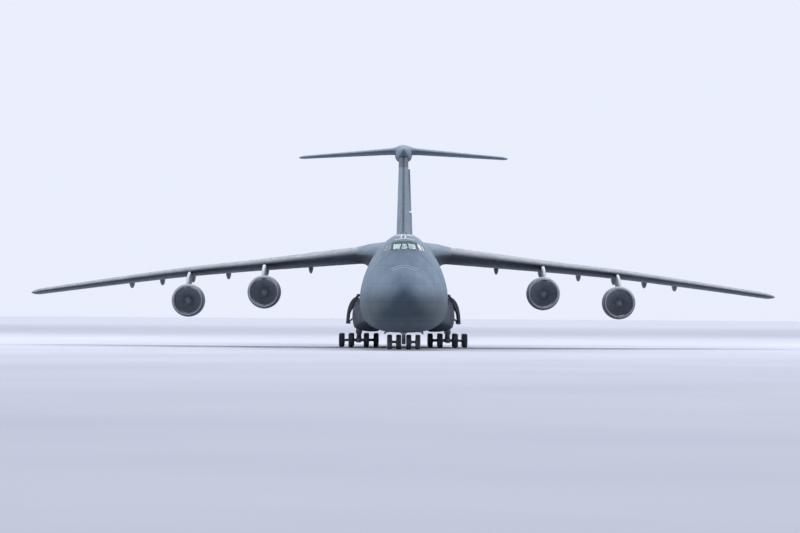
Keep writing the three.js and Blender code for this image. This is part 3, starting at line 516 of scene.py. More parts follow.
def hull_at(s, grow=0.0):
    q = math.sqrt(max(s, 0.0))
    w, zw, top, keel = (float(pchip(_q, [r[i] for r in HULL], q)) for i in (1, 2, 3, 4))
    if s > 46.0:  # the rear tapers in straight runs, as its doors do
        xs = [r[0] for r in HULL]
        w, zw, top, keel = (float(np.interp(s, xs, [r[i] for r in HULL])) for i in (1, 2, 3, 4))
    return max(w + grow, 0.004), zw, max(top - zw + grow, 0.004), max(zw - keel + grow, 0.004)


def hull_xz(s, a, grow=0.0):
    """Point of the ring at station s, angle a (0 at port, 90 degrees at the crown)."""
    w, zw, up, down = hull_at(s, grow)
    c, q = math.cos(a), math.sin(a)
    m, n = (1.73, 1.68) if q > 0 else (2.8, 2.8)
    x = w * math.copysign(abs(c) ** (2 / m), c)
    z = (up if q > 0 else down) * math.copysign(abs(q) ** (2 / n), q)
    # round off the crown, where the curve would come to a faint peak
    if q > 0:
        k = (abs(x) / w) / 0.17
        if k < 1:
            z -= up * 0.017 * (1 - k * k) ** 2
    return x, zw + z


def hull_point(s, a, grow=0.0):
    x, z = hull_xz(s, a, grow)
    return P(x, s, z)


def hull_x(s, z, grow=0.0):
    """Half width of the hull at a height."""
    w, zw, up, down = hull_at(s, grow)
    t = (z - zw) / (up if z > zw else -down) if z != zw else 0
    m, n = (1.73, 1.68) if z > zw else (2.8, 2.8)
    return w * max(1 - min(abs(t), 1) ** n, 0) ** (1 / m)


def hull_body(name, s0, s1, grow=0.0, sides=144, step=0.5, mat="hull"):
    xs = set([s0, s1])
    s = 0.02
    while s < 12:
        xs.add(round(s, 4))
        s += max(0.05, 0.12 * math.sqrt(s) + 0.02)
    xs.update(np.arange(12, 46.01, 1.0).tolist() + [47.5, 53.4, 61.4, 66.5, 69.4])
    xs.update(np.arange(46.5, 70.3, step).tolist())
    st = sorted(x for x in xs if s0 - 1e-9 <= x <= s1 + 1e-9)
    st = [x for i, x in enumerate(st) if i == 0 or x - st[i - 1] > 0.02]
    rings = [[hull_point(x, 2 * math.pi * k / sides, grow) for k in range(sides)] for x in st]
    return ring_loft(name, rings, mat)


def hull_panels(x, s, z):
    zw = np.interp(s, [r[0] for r in HULL], [r[2] for r in HULL])
    around = np.abs(np.arctan2(x, z - zw)) * 3.7 + 0.75
    level = z * 1.0 + 0.6
    k = np.clip((s - 6.0) / 3.0, 0, 1)
    return s + 0.4, around * k + level * (1 - k)


VH, VF = (5.3, 8.14), (9.3, 1.4)


def break_side(name, ahead, shift):
    run = lambda z: VH[0] + (VF[0] - VH[0]) * (z - VH[1]) / (VF[1] - VH[1]) + shift
    far = -3 if ahead else LENGTH + 3
    return prism(name, [(run(-1), -1), (run(14), 14), (far, 14), (far, -1)], "x", -6, 6)


WALL, VISOR_WALL, DOOR_WALL = 0.3, 0.26, 0.24
RULING = math.cos(2 * math.pi * 4 / 28) ** (2 / 2.8)


def bay(s):
    return RULING * hull_at(max(s, 53.4))[0]


def cell(name, rings, mat="plain"):
    """Convex cutter through two or more four-cornered rings given in full-size metres."""
    return ring_loft(name, [[P(*p) for p in r] for r in rings], mat)


def bay_cut(s0, s1, h0, h1, top0, top1, x0=None, mat="dark"):
    lo0, lo1 = (-h0, -h1) if x0 is None else (x0, x0)
    return cell("cut", [
        [(lo0, s0, 0), (h0, s0, 0), (h0, s0, top0), (lo0, s0, top0)],
        [(lo1, s1, 0), (h1, s1, 0), (h1, s1, top1), (lo1, s1, top1)],
    ], mat)


WINDOWS = [  # front panes seen from ahead, then side panes seen from the side
    ("f", [(-0.28, 8.26), (0.28, 8.26), (0.15, 8.76), (-0.15, 8.76)]),
    ("f", [(0.38, 8.25), (1.0, 8.24), (0.88, 8.7), (0.25, 8.77)]),
    ("f", [(-0.38, 8.25), (-1.0, 8.24), (-0.88, 8.7), (-0.25, 8.77)]),
    ("s", [(6.3, 8.2), (6.62, 8.18), (7.28, 8.68), (7.0, 8.7)]),
    ("s", [(6.78, 8.18), (7.2, 8.16), (7.8, 8.62), (7.44, 8.66)]),
]


def window_cut(kind, pts, out=0.0, mat="frame"):
    c = (sum(p[0] for p in pts) / 4, sum(p[1] for p in pts) / 4)
    q = [(p[0] + math.copysign(out, p[0] - c[0]), p[1] + math.copysign(out, p[1] - c[1])) for p in pts]
    if kind == "f":
        return [prism("cut", q, "s", 4.9, 7.7, mat)]
    return [prism("cut", q, "x", 0.9, 3.2, mat), prism("cut", q, "x", -3.2, -0.9, mat)]


def all_windows(out=0.0, mat="frame"):
    return [c for kind, pts in WINDOWS for c in window_cut(kind, pts, out, mat)]


skin = hull_body("fuselage_skin", 0, 70.3)
visor = copy(skin, "visor_skin")
csg(visor, ("&", break_side("cut", True, -0.012)), ("-", hull_body("cut", 0.7, 11, -VISOR_WALL, 96, mat="inside")))
hold = csg(hull_body("cut", 5.4, 47.5, -WALL, 96, mat="inside"), ("&", box("cut", -4, 4, 5, 48.5, 2.5, 6.6, "floor_in")))
fore_hold = csg(hull_body("cut", 5.4, 22.5, -0.17, 96, mat="inside"), ("&", box("cut", -4, 4, 5, 22.0, 2.5, 6.6, "floor_in")))
deck = csg(hull_body("cut", 5.95, 12, -0.08, 96, mat="cabin"), ("&", box("cut", -4, 4, 5.9, 12.1, 7.2, 11, "cabin")))
tail = csg(hull_body("cut", 47.4, 63.5, -WALL, 96, mat="inside"), ("&", box("cut", -4, 4, 47.3, 62.6, 1, 7.3, "inside")))
CREW = (13.0, 14.1, 2.62, 4.5)
door_shell = hull_body("door_shell", 10, 64, 0, 144, 0.5)
csg(door_shell, ("-", hull_body("cut", 9.5, 64.5, -DOOR_WALL, 96, mat="inside")))
keep(door_shell)
csg(
    skin,
    ("&", break_side("cut", False, 0.012)),
    ("-", [hold, fore_hold, deck, tail]),
    ("-", all_windows()),
    ("-", box("cut", 2.6, 4.4, CREW[0], CREW[1], CREW[2], CREW[3], "dark")),
    ("-", box("cut", -0.8, 0.8, 9.95, 12.3, 0.5, 2.38, "dark")),
    ("-", bay_cut(47.5, 53.41, bay(0), bay(0), 3.3, 3.3)),
    ("-", bay_cut(53.4, 61.4, bay(53.4), bay(61.4), 3.9, 6.3)),
)
for o in (skin, visor):
    shade(o, 30)
    panel(o, hull_panels)
done(skin, BODY, "grey_paint", "fuselage_forward", "fuselage_center", "fuselage_aft")
done(visor, "visor", "grey_paint", "visor")

G = 0.016
crew = csg(copy(door_shell, "crew_door_skin"), ("&", box("cut", 2.6, 4.4, CREW[0] + G, CREW[1] - G, CREW[2] + G, CREW[3] - G, "dark")))
center_door = csg(copy(door_shell, "center_door_skin"), ("&", box("cut", -0.9, 0.9, 53.47, 61.35, 0, 6.4, "dark")))
side_door = csg(
    copy(door_shell, "side_door_skin"),
    ("&", bay_cut(53.47, 61.31, bay(53.47) - G, bay(61.31) - G, 4.55, 6.43, 0.9 + G)),
)
side_door_r = mirrored(side_door, "side_door_skin_right")
TIP = 53.28
ramp = csg(
    hull_body("aft_ramp_skin", 46, 55, 0, 144, 0.5),
    ("&", box("cut", -bay(0) + G, bay(0) - G, 47.5 + G, TIP, 0, 4, "dark")),
    ("&", prism("cut", [(47, 0), (47, 2.46), (47.5, 2.46), (TIP - 0.14, 3.2), (TIP, 2.9), (TIP, 0)], "x", -3, 3, "floor_in")),
)
for o, body in ((crew, "crew_door"), (center_door, "aft_center_door"), (side_door, "aft_side_door_left"), (side_door_r, "aft_side_door_right"), (ramp, "aft_ramp")):
    shade(o, 30)
    panel(o, hull_panels)
    done(o, body, "grey_paint", body)
drop(door_shell)

# ------------------------------------------------------------------- the wing
WING = [(1.2, 8.34, 0.12), (3.95, 8.09, 0.12), (12.1, 7.3, 0.112), (13.6, 7.16, 0.11), (19.0, 6.65, 0.11), (25.5, 5.85, 0.106), (33.1, 4.84, 0.104), (33.94, 4.73, 0.05)]
CHORDS = [(0, 13.85), (13.6, 8.62), (33.1, 4.83), (33.94, 4.3)]


def wing_le(y):
    tip = max(0.0, (y - 33.0) / 0.94)
    return 21.5 + 0.5148 * y + 0.42 * tip ** 2.2


def chord(y):
    return float(np.interp(y, [c[0] for c in CHORDS], [c[1] for c in CHORDS])) - (0.42 * max(0.0, (y - 33.0) / 0.94) ** 2.2)


def wing_z(y):
    return float(pchip([w[0] for w in WING[:-1]], [w[1] for w in WING[:-1]], min(y, 33.1))) - max(0, y - 33.1) * 0.13


def wing_t(y):
    t = float(np.interp(y, [w[0] for w in WING[:-1]], [w[2] for w in WING[:-1]]))
    return t * math.sqrt(max(1 - max(0.0, (y - 33.15) / 0.8) ** 2, 0.02)) if y > 33.15 else t


def half_foil(x):
    return 5 * (0.2969 * math.sqrt(x) - 0.126 * x - 0.3516 * x * x + 0.2843 * x ** 3 - 0.1015 * x ** 4)


FX = [0.5 * (1 - math.cos(math.pi * i / 34)) for i in range(1, 35)]


def foil(c, t, place, edge=0.02):
    side = [(x * c, half_foil(x) * t * c + edge * min(1, x * 6)) for x in FX]
    return [place(0, 0)] + [place(d, h) for d, h in side] + [place(d, -h) for d, h in reversed(side)]


def wing_point(y, f, upper=True, lift=0.0):
    c, t = chord(y), wing_t(y)
    h = half_foil(f) * t * c + 0.02 * min(1, f * 6) + lift
    return P(y, wing_le(y) + f * c, wing_z(y) + (h if upper else -h))


def wing_rings():
    ys = sorted(set([1.2, 3.95, 12.1, 13.6] + np.linspace(1.2, 33.0, 56).tolist() + [33.25, 33.45, 33.6, 33.72, 33.82, 33.89, 33.93]))
    return [foil(chord(y), wing_t(y), lambda d, h, y=y: P(y, wing_le(y) + d, wing_z(y) + h)) for y in ys]


def wing_panels(x, s, z):
    y = np.abs(x)
    le = 21.5 + 0.5148 * y
    c = np.interp(y, [k[0] for k in CHORDS], [k[1] for k in CHORDS])
    return y + (z > 0) * 0.0, (s - le) / c * 7.0


def along(p0, p1, outline, n0=None, n1=None, shorter=0.0):
    """Prism along a hinge line; outline is (aft, up) from the line, ends square to it or in planes with normals n0, n1."""
    a, b = P(*p0), P(*p1)
    u = (b - a).normalized()
    v = (Vector((0, 1, 0)) - u * u.y).normalized()
    w = u.cross(v)
    if w.z < 0 or (abs(w.z) < 1e-6 and w.x < 0):
        w.negate()
    a, b = a + u * shorter * HALF, b - u * shorter * HALF

    def ring(p, n):
        out = []
        for d, h in outline:
            q = p + v * d * HALF + w * h * HALF
            out.append(q + u * ((p - q).dot(n) / u.dot(n)))
        return out
    return ring_loft("cut", [ring(a, n0 or u), ring(b, n1 or u)], "plain")


wing = ring_loft("wing_skin_left", wing_rings(), "wing", angle=40)
# flaps: ends, and how far the hinge line hangs below the wing's middle there
FLAPS = [("flap_inboard", 4.3, 13.25, 1.3, 1.04), ("flap_outboard", 13.95, 25.1, 1.02, 0.81)]
flap_line = lambda y, d: (y, wing_le(y) + 0.74 * chord(y), float(np.interp(y, [w[0] for w in WING], [w[1] for w in WING])) - d)
flaps = {}
for name, y0, y1, d0, d1 in FLAPS:
    p0, p1 = flap_line(y0, d0), flap_line(y1, d1)
    flap = csg(copy(wing, name + "_left_skin"), ("&", along(p0, p1, [(G, 0.02), (G, 3), (6, 3), (6, 0.02)], shorter=0.04)))
    csg(wing, ("-", along(p0, p1, [(0, 0), (0, 3), (6, 3), (6, 0)])))
    flaps[name] = (flap, p0, p1)
ail_line = lambda y: (y, wing_le(y) + 0.76 * chord(y), wing_z(y))
nose = lambda k: [(0, 0), (k, 1), (5, 1), (5, -1), (k, -1)]
p0, p1 = ail_line(25.9), ail_line(32.3)
aileron = csg(copy(wing, "aileron_left_skin"), ("&", along(p0, p1, nose(0.6), shorter=0.03)))
csg(wing, ("-", along(p0, p1, [(-G, -1), (-G, 1), (5, 1), (5, -1)])))

# track fairings: a canoe under each track, its front half on the wing
fronts, backs = [], {"flap_inboard": [], "flap_outboard": []}
TRACKS = [("flap_inboard", 8.3), ("flap_inboard", 12.3), ("flap_outboard", 15.76), ("flap_outboard", 19.02), ("flap_outboard", 21.86), ("flap_outboard", 24.7)]


def canoe(y, s0, s1, bottom, w, top):
    rings = []
    n = 28
    for i in range(n + 1):
        f = i / n
        s = s0 + (s1 - s0) * f
        e = max(math.sin(math.pi * min(max(f, 0.0), 1.0) ** 0.8) ** 0.6, 0.03)
        zt = top(s)
        zb = zt - (zt - bottom) * e
        ww = w * e
        cs = [(math.cos(a), math.sin(a)) for a in (2 * math.pi * k / 24 for k in range(24))]
        rings.append([P(y + ww * math.copysign(abs(c) ** 0.7, c) * (1 if q > 0 else 1 + 0.32 * q), s, (zt + zb) / 2 + (zt - zb) / 2 * math.copysign(abs(q) ** 0.7, q)) for c, q in cs])
    return ring_loft("canoe", rings, "track", angle=50)


for name, y in TRACKS:
    f_, q0, q1 = flaps[name]
    k = (y - q0[0]) / (q1[0] - q0[0])
    s = q0[1] + (q1[1] - q0[1]) * k
    z, c = wing_z(y), chord(y)
    body = canoe(y, s - 0.26 * c, s + 0.32 * c, q0[2] + (q1[2] - q0[2]) * k + 0.05, 0.21, lambda ss: z - 0.05)
    front = csg(copy(body, "front"), ("-", along(q0, q1, [(0, -1), (0, 3), (8, 3), (8, -1)])))
    back = csg(copy(body, "back"), ("&", along(q0, q1, [(G, -1), (G, 3), (8, 3), (8, -1)])))
    drop(body)
    fronts.append(front)
    backs[name].append(back)

wing_all = joined("wing_skin_left", [wing] + fronts)
panel(shade(wing_all, 35) or wing_all, wing_panels)
for side in ("left", "right"):
    o = wing_all if side == "left" else mirrored(wing_all, "wing_skin_right")
    done(o, BODY, "grey_paint", f"wing_{side}")
for name, (o, _, _) in flaps.items():
    o = joined(name + "_left_skin", [o] + backs[name])
    shade(o, 35)
    panel(o, wing_panels)
    r = mirrored(o, name + "_right_skin")
    done(o, name + "_left", "grey_paint", name + "_left")
    done(r, name + "_right", "grey_paint", name + "_right")
shade(aileron, 35)
panel(aileron, wing_panels)
r = mirrored(aileron, "aileron_right_skin")
done(aileron, "aileron_left", "grey_paint", "aileron_left")
done(r, "aileron_right", "grey_paint", "aileron_right")

# ------------------------------------------- fairing where wing and hull meet
def glove_rings():
    rings = []
    ys = [1.2, 1.6, 2.0, 2.4, 2.7, 2.9, 3.0, 3.08, 3.16, 3.22, 3.3, 3.38, 3.46, 3.55, 3.65, 3.78, 3.95, 4.15]
    fs = [0.5 * (1 - math.cos(math.pi * i / 30)) for i in range(1, 31)]
    for y in ys:
        k = max(0.0, 1 - (y - 1.6) / 2.55) if y > 1.6 else 1.0
        c, t, z = chord(y), wing_t(y), wing_z(y)
        r = 0.75
        low = 0.0 if y >= 3.78 else (r - math.sqrt(max(r * r - (3.78 - y) ** 2, 0)) if y > 3.08 else 0.48 + (3.08 - y) * 1.1)
        lift = 0.18 * min(1, k / 0.45) ** 1.2
        droop = -0.62 * k * k
        fore, aft = 1.9 * k ** 2.0, 1.6 * k ** 2.0
        s0, s1 = wing_le(y) - fore, wing_le(y) + c + aft
        up_side, low_side = [], []
        for f in fs:
            s = s0 + (s1 - s0) * f
            h = half_foil(f) * t * c + 0.02 * min(1, f * 6) - (0.006 if y > 4.0 else 0)
            bulge = math.sin(math.pi * min(f * 1.3, 1) / 2) ** 0.5 * (1 - f ** 4)
            mid = z + droop * max(1 - f / 0.3, 0) ** 2
            up_side.append(P(y, s, mid + h + lift * bulge))
            low_side.append(P(y, s, mid - h - low * bulge))
        rings.append([P(y, s0, z + droop)] + up_side + low_side[::-1])
    return rings


glove = ring_loft("root_fairing_left", glove_rings(), "wing", angle=50)
# painted shade: the fairing's lower side takes the dark belly paint, its upper side the lighter root paint
glove.data.materials.clear()
for m in ("root", "belly"):
    glove.data.materials.append(MAT[m])
under = [0] * len(glove.data.polygons)
for p in glove.data.polygons:
    ks = [v % 61 for v in p.vertices]
    if len(ks) == 4 and (min(ks) >= 30 or (min(ks) == 0 and max(ks) >= 59)):
        under[p.index] = 1
glove.data.polygons.foreach_set("material_index", under)
panel(glove, lambda x, s, z: (s, np.abs(x) * 1.0 + z))
r = mirrored(glove, "root_fairing_right")
done(glove, BODY, "grey_paint")
done(r, BODY, "grey_paint")


# seams of slats, spoilers and access rows on the wing
def ribbon(a, b, w=0.035, upper=True, side=1, lift=0.004, n=None, mat="seam"):
    """Thin dark line on the wing between (y, f) points."""
    n = n or max(2, int(abs(a[0] - b[0]) / 1.1) + 2)
    rows = []
    for i in range(n + 1):
        k = i / n
        y, f = a[0] + (b[0] - a[0]) * k, a[1] + (b[1] - a[1]) * k
        c = chord(y)
        if abs(a[0] - b[0]) > abs(a[1] - b[1]) * 4:
            f0, f1, y0, y1 = f - w / 2 / c, f + w / 2 / c, y, y
        else:
            f0, f1, y0, y1 = f, f, y - w / 2, y + w / 2
        p, q = wing_point(y0, f0, upper, lift), wing_point(y1, f1, upper, lift)
        d = Vector((0, 0, -0.012 * (1 if upper else -1)))
        rows.append([p, q, q + d, p + d])
    return ring_loft("seam", rows, mat, angle=60)


lines = []
slats = [4.6, 7.4, 10.2, 13.0, 16.0, 19.4, 22.8, 26.2, 29.6, 32.6]
lines.append(ribbon((4.6, 0.13), (32.6, 0.15), 0.05))
lines.append(ribbon((4.6, 0.07), (32.6, 0.08), 0.05, False))
for y in slats:
    lines.append(ribbon((y, 0.012), (y, 0.13 + 0.02 * (y - 4.6) / 28), 0.04, n=6))
    lines.append(ribbon((y, 0.012), (y, 0.075), 0.04, False, n=4))
for y0, y1, f0, f1 in ((4.6, 13.1, 0.60, 0.715), (14.1, 24.9, 0.61, 0.715)):  # spoilers
    lines.append(ribbon((y0, f0), (y1, f0), 0.035))
    lines.append(ribbon((y0, f1), (y1, f1), 0.035))
    for y in np.linspace(y0, y1, 6):
        lines.append(ribbon((float(y), f0), (float(y), f1), 0.035, n=5))
for f in (0.27, 0.44):  # spar rows
    lines.append(ribbon((4.6, f), (32.6, f), 0.02))
    lines.append(ribbon((4.6, f), (32.6, f), 0.02, False))
for y in np.arange(5.5, 32, 1.6):  # oval tank covers under the wing
    c = chord(float(y))
    ring = []
    for a in np.linspace(0, 2 * math.pi, 15)[:-1]:
        ring.append(wing_point(float(y) + 0.22 * math.cos(a), 0.36 + 0.28 * math.sin(a) / c, False, 0.004))
    up_ = [p + Vector((0, 0, 0.01)) for p in ring]
    lines.append(ring_loft("cover", [ring, up_], "plain", angle=50))
for y in np.linspace(26.2, 33.2, 9):  # static wicks
    y = float(y)
    if 25.9 < y < 32.35:
        continue
    p = wing_point(y, 0.995)
    lines.append(tube("wick", [p, p + Vector((0, 0.14, -0.01))], 0.008, "dark", 6))
tip = turned("navigation_lamp", [(-0.05, 0), (0.0, 0.06), (0.1, 0.08), (0.32, 0.07), (0.4, 0)], (33.72, wing_le(33.72) + 0.35, wing_z(33.72)), "y", 16, "lens")
lines.append(tip)
wing_lines = joined("wing_lines_left", lines)
r = mirrored(wing_lines, "wing_lines_right")
done(wing_lines, BODY, "grey_paint")
done(r, BODY, "grey_paint")

# ------------------------------------------------------------------- the tail
FIN = [(54.9, 11.4, 9.0, 0.118), (64.05, 7.5, 18.3, 0.116)]


def fin_at(z):
    f = (z - FIN[0][2]) / (FIN[1][2] - FIN[0][2])
    return tuple(FIN[0][i] + (FIN[1][i] - FIN[0][i]) * f for i in (0, 1)) + (FIN[0][3] + (FIN[1][3] - FIN[0][3]) * f,)


def fin_panels(x, s, z):
    f = (z - 9.0) / 9.3
    return z, (s - (54.9 + 9.15 * f)) / (11.4 - 3.9 * f) * 6.0


fin = ring_loft("fin_skin", [foil(fin_at(z)[1], fin_at(z)[2], lambda d, h, z=z: P(h, fin_at(z)[0] + d, z)) for z in np.linspace(9.0, 18.3, 24)], "tail", angle=40)
fin_hinge = lambda z: (0, fin_at(z)[0] + 0.7 * fin_at(z)[1], z)
up = Vector((0, 0, 1))
# the rudders rest turned to port, by so many degrees
for name, z0, z1, rest in (("rudder_lower", 10.62, 12.98, 20), ("rudder_upper", 13.16, 17.4, 19)):
    o = csg(copy(fin, name + "_skin"), ("&", along(fin_hinge(z0), fin_hinge(z1), nose(0.78), up, up)))
    a, b = P(*fin_hinge(z0)), P(*fin_hinge(z1))
    o.data.transform(Matrix.Translation(a) @ Matrix.Rotation(math.radians(-rest), 4, (b - a).normalized()) @ Matrix.Translation(-a))
    shade(o, 35)
    panel(o, fin_panels)
    done(o, name, "grey_paint", name)
csg(fin, ("-", along(fin_hinge(10.48), fin_hinge(17.54), [(-G, -1), (-G, 1), (5, 1), (5, -1)], up, up)))
shade(fin, 35)
panel(fin, fin_panels)
done(fin, BODY, "grey_paint", "fin")

BULLET = [(63.2, 0), (63.24, 0.1), (63.35, 0.2), (64.2, 0.52), (66.0, 0.79), (68.2, 0.85), (71.2, 0.8), (73.6, 0.5), (75.1, 0.12), (75.31, 0)]
BZ = HEIGHT - 0.85
bs = sorted(set([63.2, 63.22, 63.26, 63.32, 63.4, 63.6, 63.9] + np.linspace(64.2, 75.31, 36).tolist()))
def bullet_ring(s):
    """Round above, fuller towards its two lower corners."""
    r = max(float(pchip([b[0] for b in BULLET], [b[1] for b in BULLET], s)), 0.004)
    out = []
    for k in range(56):
        c, q = math.cos(2 * math.pi * k / 56), math.sin(2 * math.pi * k / 56)
        e = 1.0 if q > 0 else 0.62
        out.append(P(0.998 * r * math.copysign(abs(c) ** e, c), s, BZ + r * (0.9 if q > 0 else 1.0) * math.copysign(abs(q) ** e, q)))
    return out


bullet = ring_loft("bullet", [bullet_ring(s) for s in bs], "tail", angle=40)
TP = [(65.3, 6.3, 0.0, 19.18, 0.105), (70.75, 2.75, 10.1, 18.65, 0.1)]


def tail_at(y):
    f = y / 10.1
    le, c, z, t = (TP[0][i] + (TP[1][i] - TP[0][i]) * f for i in (0, 1, 3, 4))
    tip = max(0.0, (y - 9.9) / 0.57)
    le += 0.35 * tip ** 2
    c -= 0.5 * tip ** 2
    return le, c, z, t * math.sqrt(max(1 - min(tip, 0.99) ** 2, 0.03))


def tail_panels(x, s, z):
    y = np.abs(x)
    return y, (s - (65.3 + 0.5396 * y)) / (6.3 - 0.3515 * y) * 5.0


tail_half = ring_loft("t", [foil(tail_at(y)[1], tail_at(y)[3], lambda d, h, y=y: P(y, tail_at(y)[0] + d, tail_at(y)[2] + h)) for y in np.linspace(0, 9.9, 22).tolist() + [10.1, 10.25, 10.35, 10.42, 10.46]], "tail", angle=40)
el = lambda y: (y, tail_at(y)[0] + 0.7 * tail_at(y)[1], tail_at(y)[2])
elevator = csg(copy(tail_half, "elevator_left_skin"), ("&", along(el(1.4), el(8.6), nose(0.6), shorter=0.03)))
csg(tail_half, ("-", along(el(1.4), el(8.6), [(-G, -1), (-G, 1), (5, 1), (5, -1)])))
tail_right = mirrored(tail_half, "tr")
# fillets where the tailplane runs into the bullet, and the fin's dark cap
cap = []
rows = []
for z in np.linspace(17.42, 18.5, 8):
    le, c, t = fin_at(float(z))
    k = 1.0
    rows.append(foil(c * 1.004, t * 1.01 * k, lambda d, h, z=z, le=le, c=c: P(h, le - 0.02 + d, float(z)), 0.022))
cap.append(ring_loft("cap", rows, "cap", angle=40))
for f in (-1, 1):
    rows = []
    for y in np.linspace(0.35, 1.35, 9):
        le, c, z, t = tail_at(float(y))
        k = (1.35 - float(y)) / 1.0
        rows.append(foil(c + 0.5 * k * k, t * (1 + 0.55 * k * k) * c / (c + 0.5 * k * k), lambda d, h, y=y, le=le, z=z, k=k: P(f * float(y), le - 0.35 * k * k + d, z + h), 0.03))
    cap.append(ring_loft("fillet", rows, "tail", angle=40))
tailplane = joined("tailplane_skin", [bullet, tail_half, tail_right] + cap)
shade(tailplane, 35)
panel(tailplane, tail_panels)
done(tailplane, BODY, "grey_paint", "tailplane")
shade(elevator, 35)
panel(elevator, tail_panels)
r = mirrored(elevator, "elevator_right_skin")
done(elevator, "elevator_left", "grey_paint", "elevator_left")
done(r, "elevator_right", "grey_paint", "elevator_right")

# --------------------------------------------------------------------- engines
ENGINES = [(1, 18.88, 4.05, 25.6), (2, 12.09, 4.8, 22.0), (3, -12.09, 4.8, 22.0), (4, -18.88, 4.05, 25.6)]
OUTER = [(0.3, 1.372), (0.6, 1.405), (1.0, 1.437), (1.6, 1.44), (2.4, 1.428), (3.2, 1.36), (4.0, 1.24)]
LIP_OUT = [(0.0, 1.235), (0.015, 1.272), (0.05, 1.303), (0.12, 1.334), (0.2, 1.354), (0.3, 1.372)]
DUCT = [(0.0, 1.235), (0.01, 1.205), (0.05, 1.18), (0.14, 1.16), (0.3, 1.15)]


def engine(n, x, z, s):
    parts = []
    at = (x, s, z)
    lip = turned("lip", LIP_OUT[:2] + [(0.05, 1.25), (0.14, 1.2)] + list(reversed(DUCT[1:4])), at, mat="lip")
    cowl = turned("cowl", LIP_OUT[1:-1] + OUTER + [(4.0, 1.215), (3.0, 1.235), (2.2, 1.235), (1.62, 1.2), (1.62, 1.3), (0.3, 1.26), (0.06, 1.256)], at, mat="nacelle")
    panel(cowl, lambda X, S, Z: (S - s, np.arctan2(X - x, Z - z) * 1.4))
    duct = turned("duct", [(0.141, 1.16), (0.3, 1.15), (0.7, 1.15), (1.2, 1.165), (1.62, 1.185), (1.62, 1.22), (0.3, 1.22), (0.141, 1.2)], at, mat="duct")
    core = turned("core", [(1.62, 0), (1.62, 0.44), (2.3, 0.62), (3.0, 0.76), (3.9, 0.82), (4.9, 0.74), (6.05, 0.6), (6.1, 0.585), (6.1, 0.55), (5.7, 0.57), (5.7, 0.0)], at, sides=64, mat="core")
    plug = turned("plug", [(5.6, 0.0), (5.6, 0.42), (6.1, 0.43), (6.7, 0.3), (7.2, 0.12), (7.36, 0.04), (7.39, 0)], at, sides=48, mat="core")
    parts += [lip, cowl, duct, core, plug]
    # outlet vanes behind the fan and the struts that carry the core
    for k in range(40):
        a = 2 * math.pi * k / 40
        d = Vector((math.cos(a), 0, math.sin(a)))
        c = P(*at)
        v = [c + d * r * HALF + Vector((-d.z * o, 0, d.x * o)) * HALF + Vector((0, y, 0)) * HALF
             for r, y, o in ((0.5, 1.75, 0.0), (1.2, 1.75, 0.0), (1.22, 2.05, 0.05), (0.56, 2.05, 0.05))]
        t = Vector((-d.z, 0, d.x)) * 0.006
        parts.append(make("vane", [p - t for p in v] + [p + t for p in v], [(0, 1, 2, 3), (7, 6, 5, 4), (0, 4, 5, 1), (1, 5, 6, 2), (2, 6, 7, 3), (3, 7, 4, 0)], "duct", smooth=False))
    for sx, sz in ((0.07, 1.23), (1.23, 0.07)):
        parts.append(box("strut", x - sx, x + sx, s + 2.3, s + 3.5, z - sz, z + sz, "duct", 0.02))
    # cowl seams and latches along the keel
    for d in (0.45, 1.62, 2.9):
        r = float(np.interp(d, [o[0] for o in OUTER], [o[1] for o in OUTER]))
        parts.append(turned("seam", [(d - 0.018, r - 0.01), (d - 0.018, r + 0.004), (d + 0.018, r + 0.004), (d + 0.018, r - 0.01)], at, mat="gap"))
    parts.append(tube("seam", [P(x, s + d, z - r - 0.002) for d, r in OUTER], 0.014, "gap", 6))
    for d in (0.9, 1.3, 1.9, 2.3, 2.7):
        r = float(np.interp(d, [o[0] for o in OUTER], [o[1] for o in OUTER]))
        parts.append(box("latch", x - 0.06, x + 0.06, s + d - 0.07, s + d + 0.07, z - r - 0.012, z - r + 0.05, "steel", 0.01))
    e = joined(f"engine_{n}_body", parts)
    done(e, BODY, "nacelle_paint", f"engine_{n}")


def fan(n, x, z, s):
    parts = [
        turned("spinner", [(0.62, 0), (0.63, 0.05), (0.68, 0.12), (0.8, 0.22), (0.98, 0.33), (1.1, 0.385), (1.34, 0.4), (1.6, 0.4), (1.6, 0)], (x, s, z), sides=48, mat="spinner"),
        turned("disc", [(1.34, 0.3), (1.3, 0.42), (1.42, 0.5), (1.5, 1.06), (1.55, 1.06), (1.55, 0.3)], (x, s, z), sides=48, mat="duct"),
    ]
    c = P(x, s, z)
    N = 34
    for k in range(N):
        a = 2 * math.pi * k / N
        d = Vector((math.cos(a), 0, math.sin(a)))
        e = Vector((-d.z, 0, d.x))
        front, back = [], []
        for i in range(7):
            f = i / 6
            r = 0.38 + (1.115 - 0.38) * f
            tw = math.radians(22 + 38 * f)
            w = 0.105 + 0.03 * f
            mid = c + d * r * HALF + Vector((0, 1.23, 0)) * HALF
            q = (Vector((0, 1, 0)) * math.cos(tw) + e * math.sin(tw)) * w * HALF
            front.append(mid - q)
            back.append(mid + q)
        t = e * 0.003 + Vector((0, 0.003, 0))
        vs = [p - t for p in front] + [p - t for p in back] + [p + t for p in front] + [p + t for p in back]
        fs = []
        for i in range(6):
            fs += [(i, i + 1, 7 + i + 1, 7 + i), (14 + i, 21 + i, 22 + i, 15 + i), (i, 14 + i, 15 + i, i + 1), (7 + i, 8 + i, 22 + i, 21 + i)]
        fs += [(0, 7, 21, 14), (6, 20, 27, 13)]
        parts.append(make("blade", vs, fs, "blade", angle=50))
    o = joined(f"fan_{n}_rotor", parts)
    done(o, f"fan_{n}", "fan_metal", f"fan_{n}")


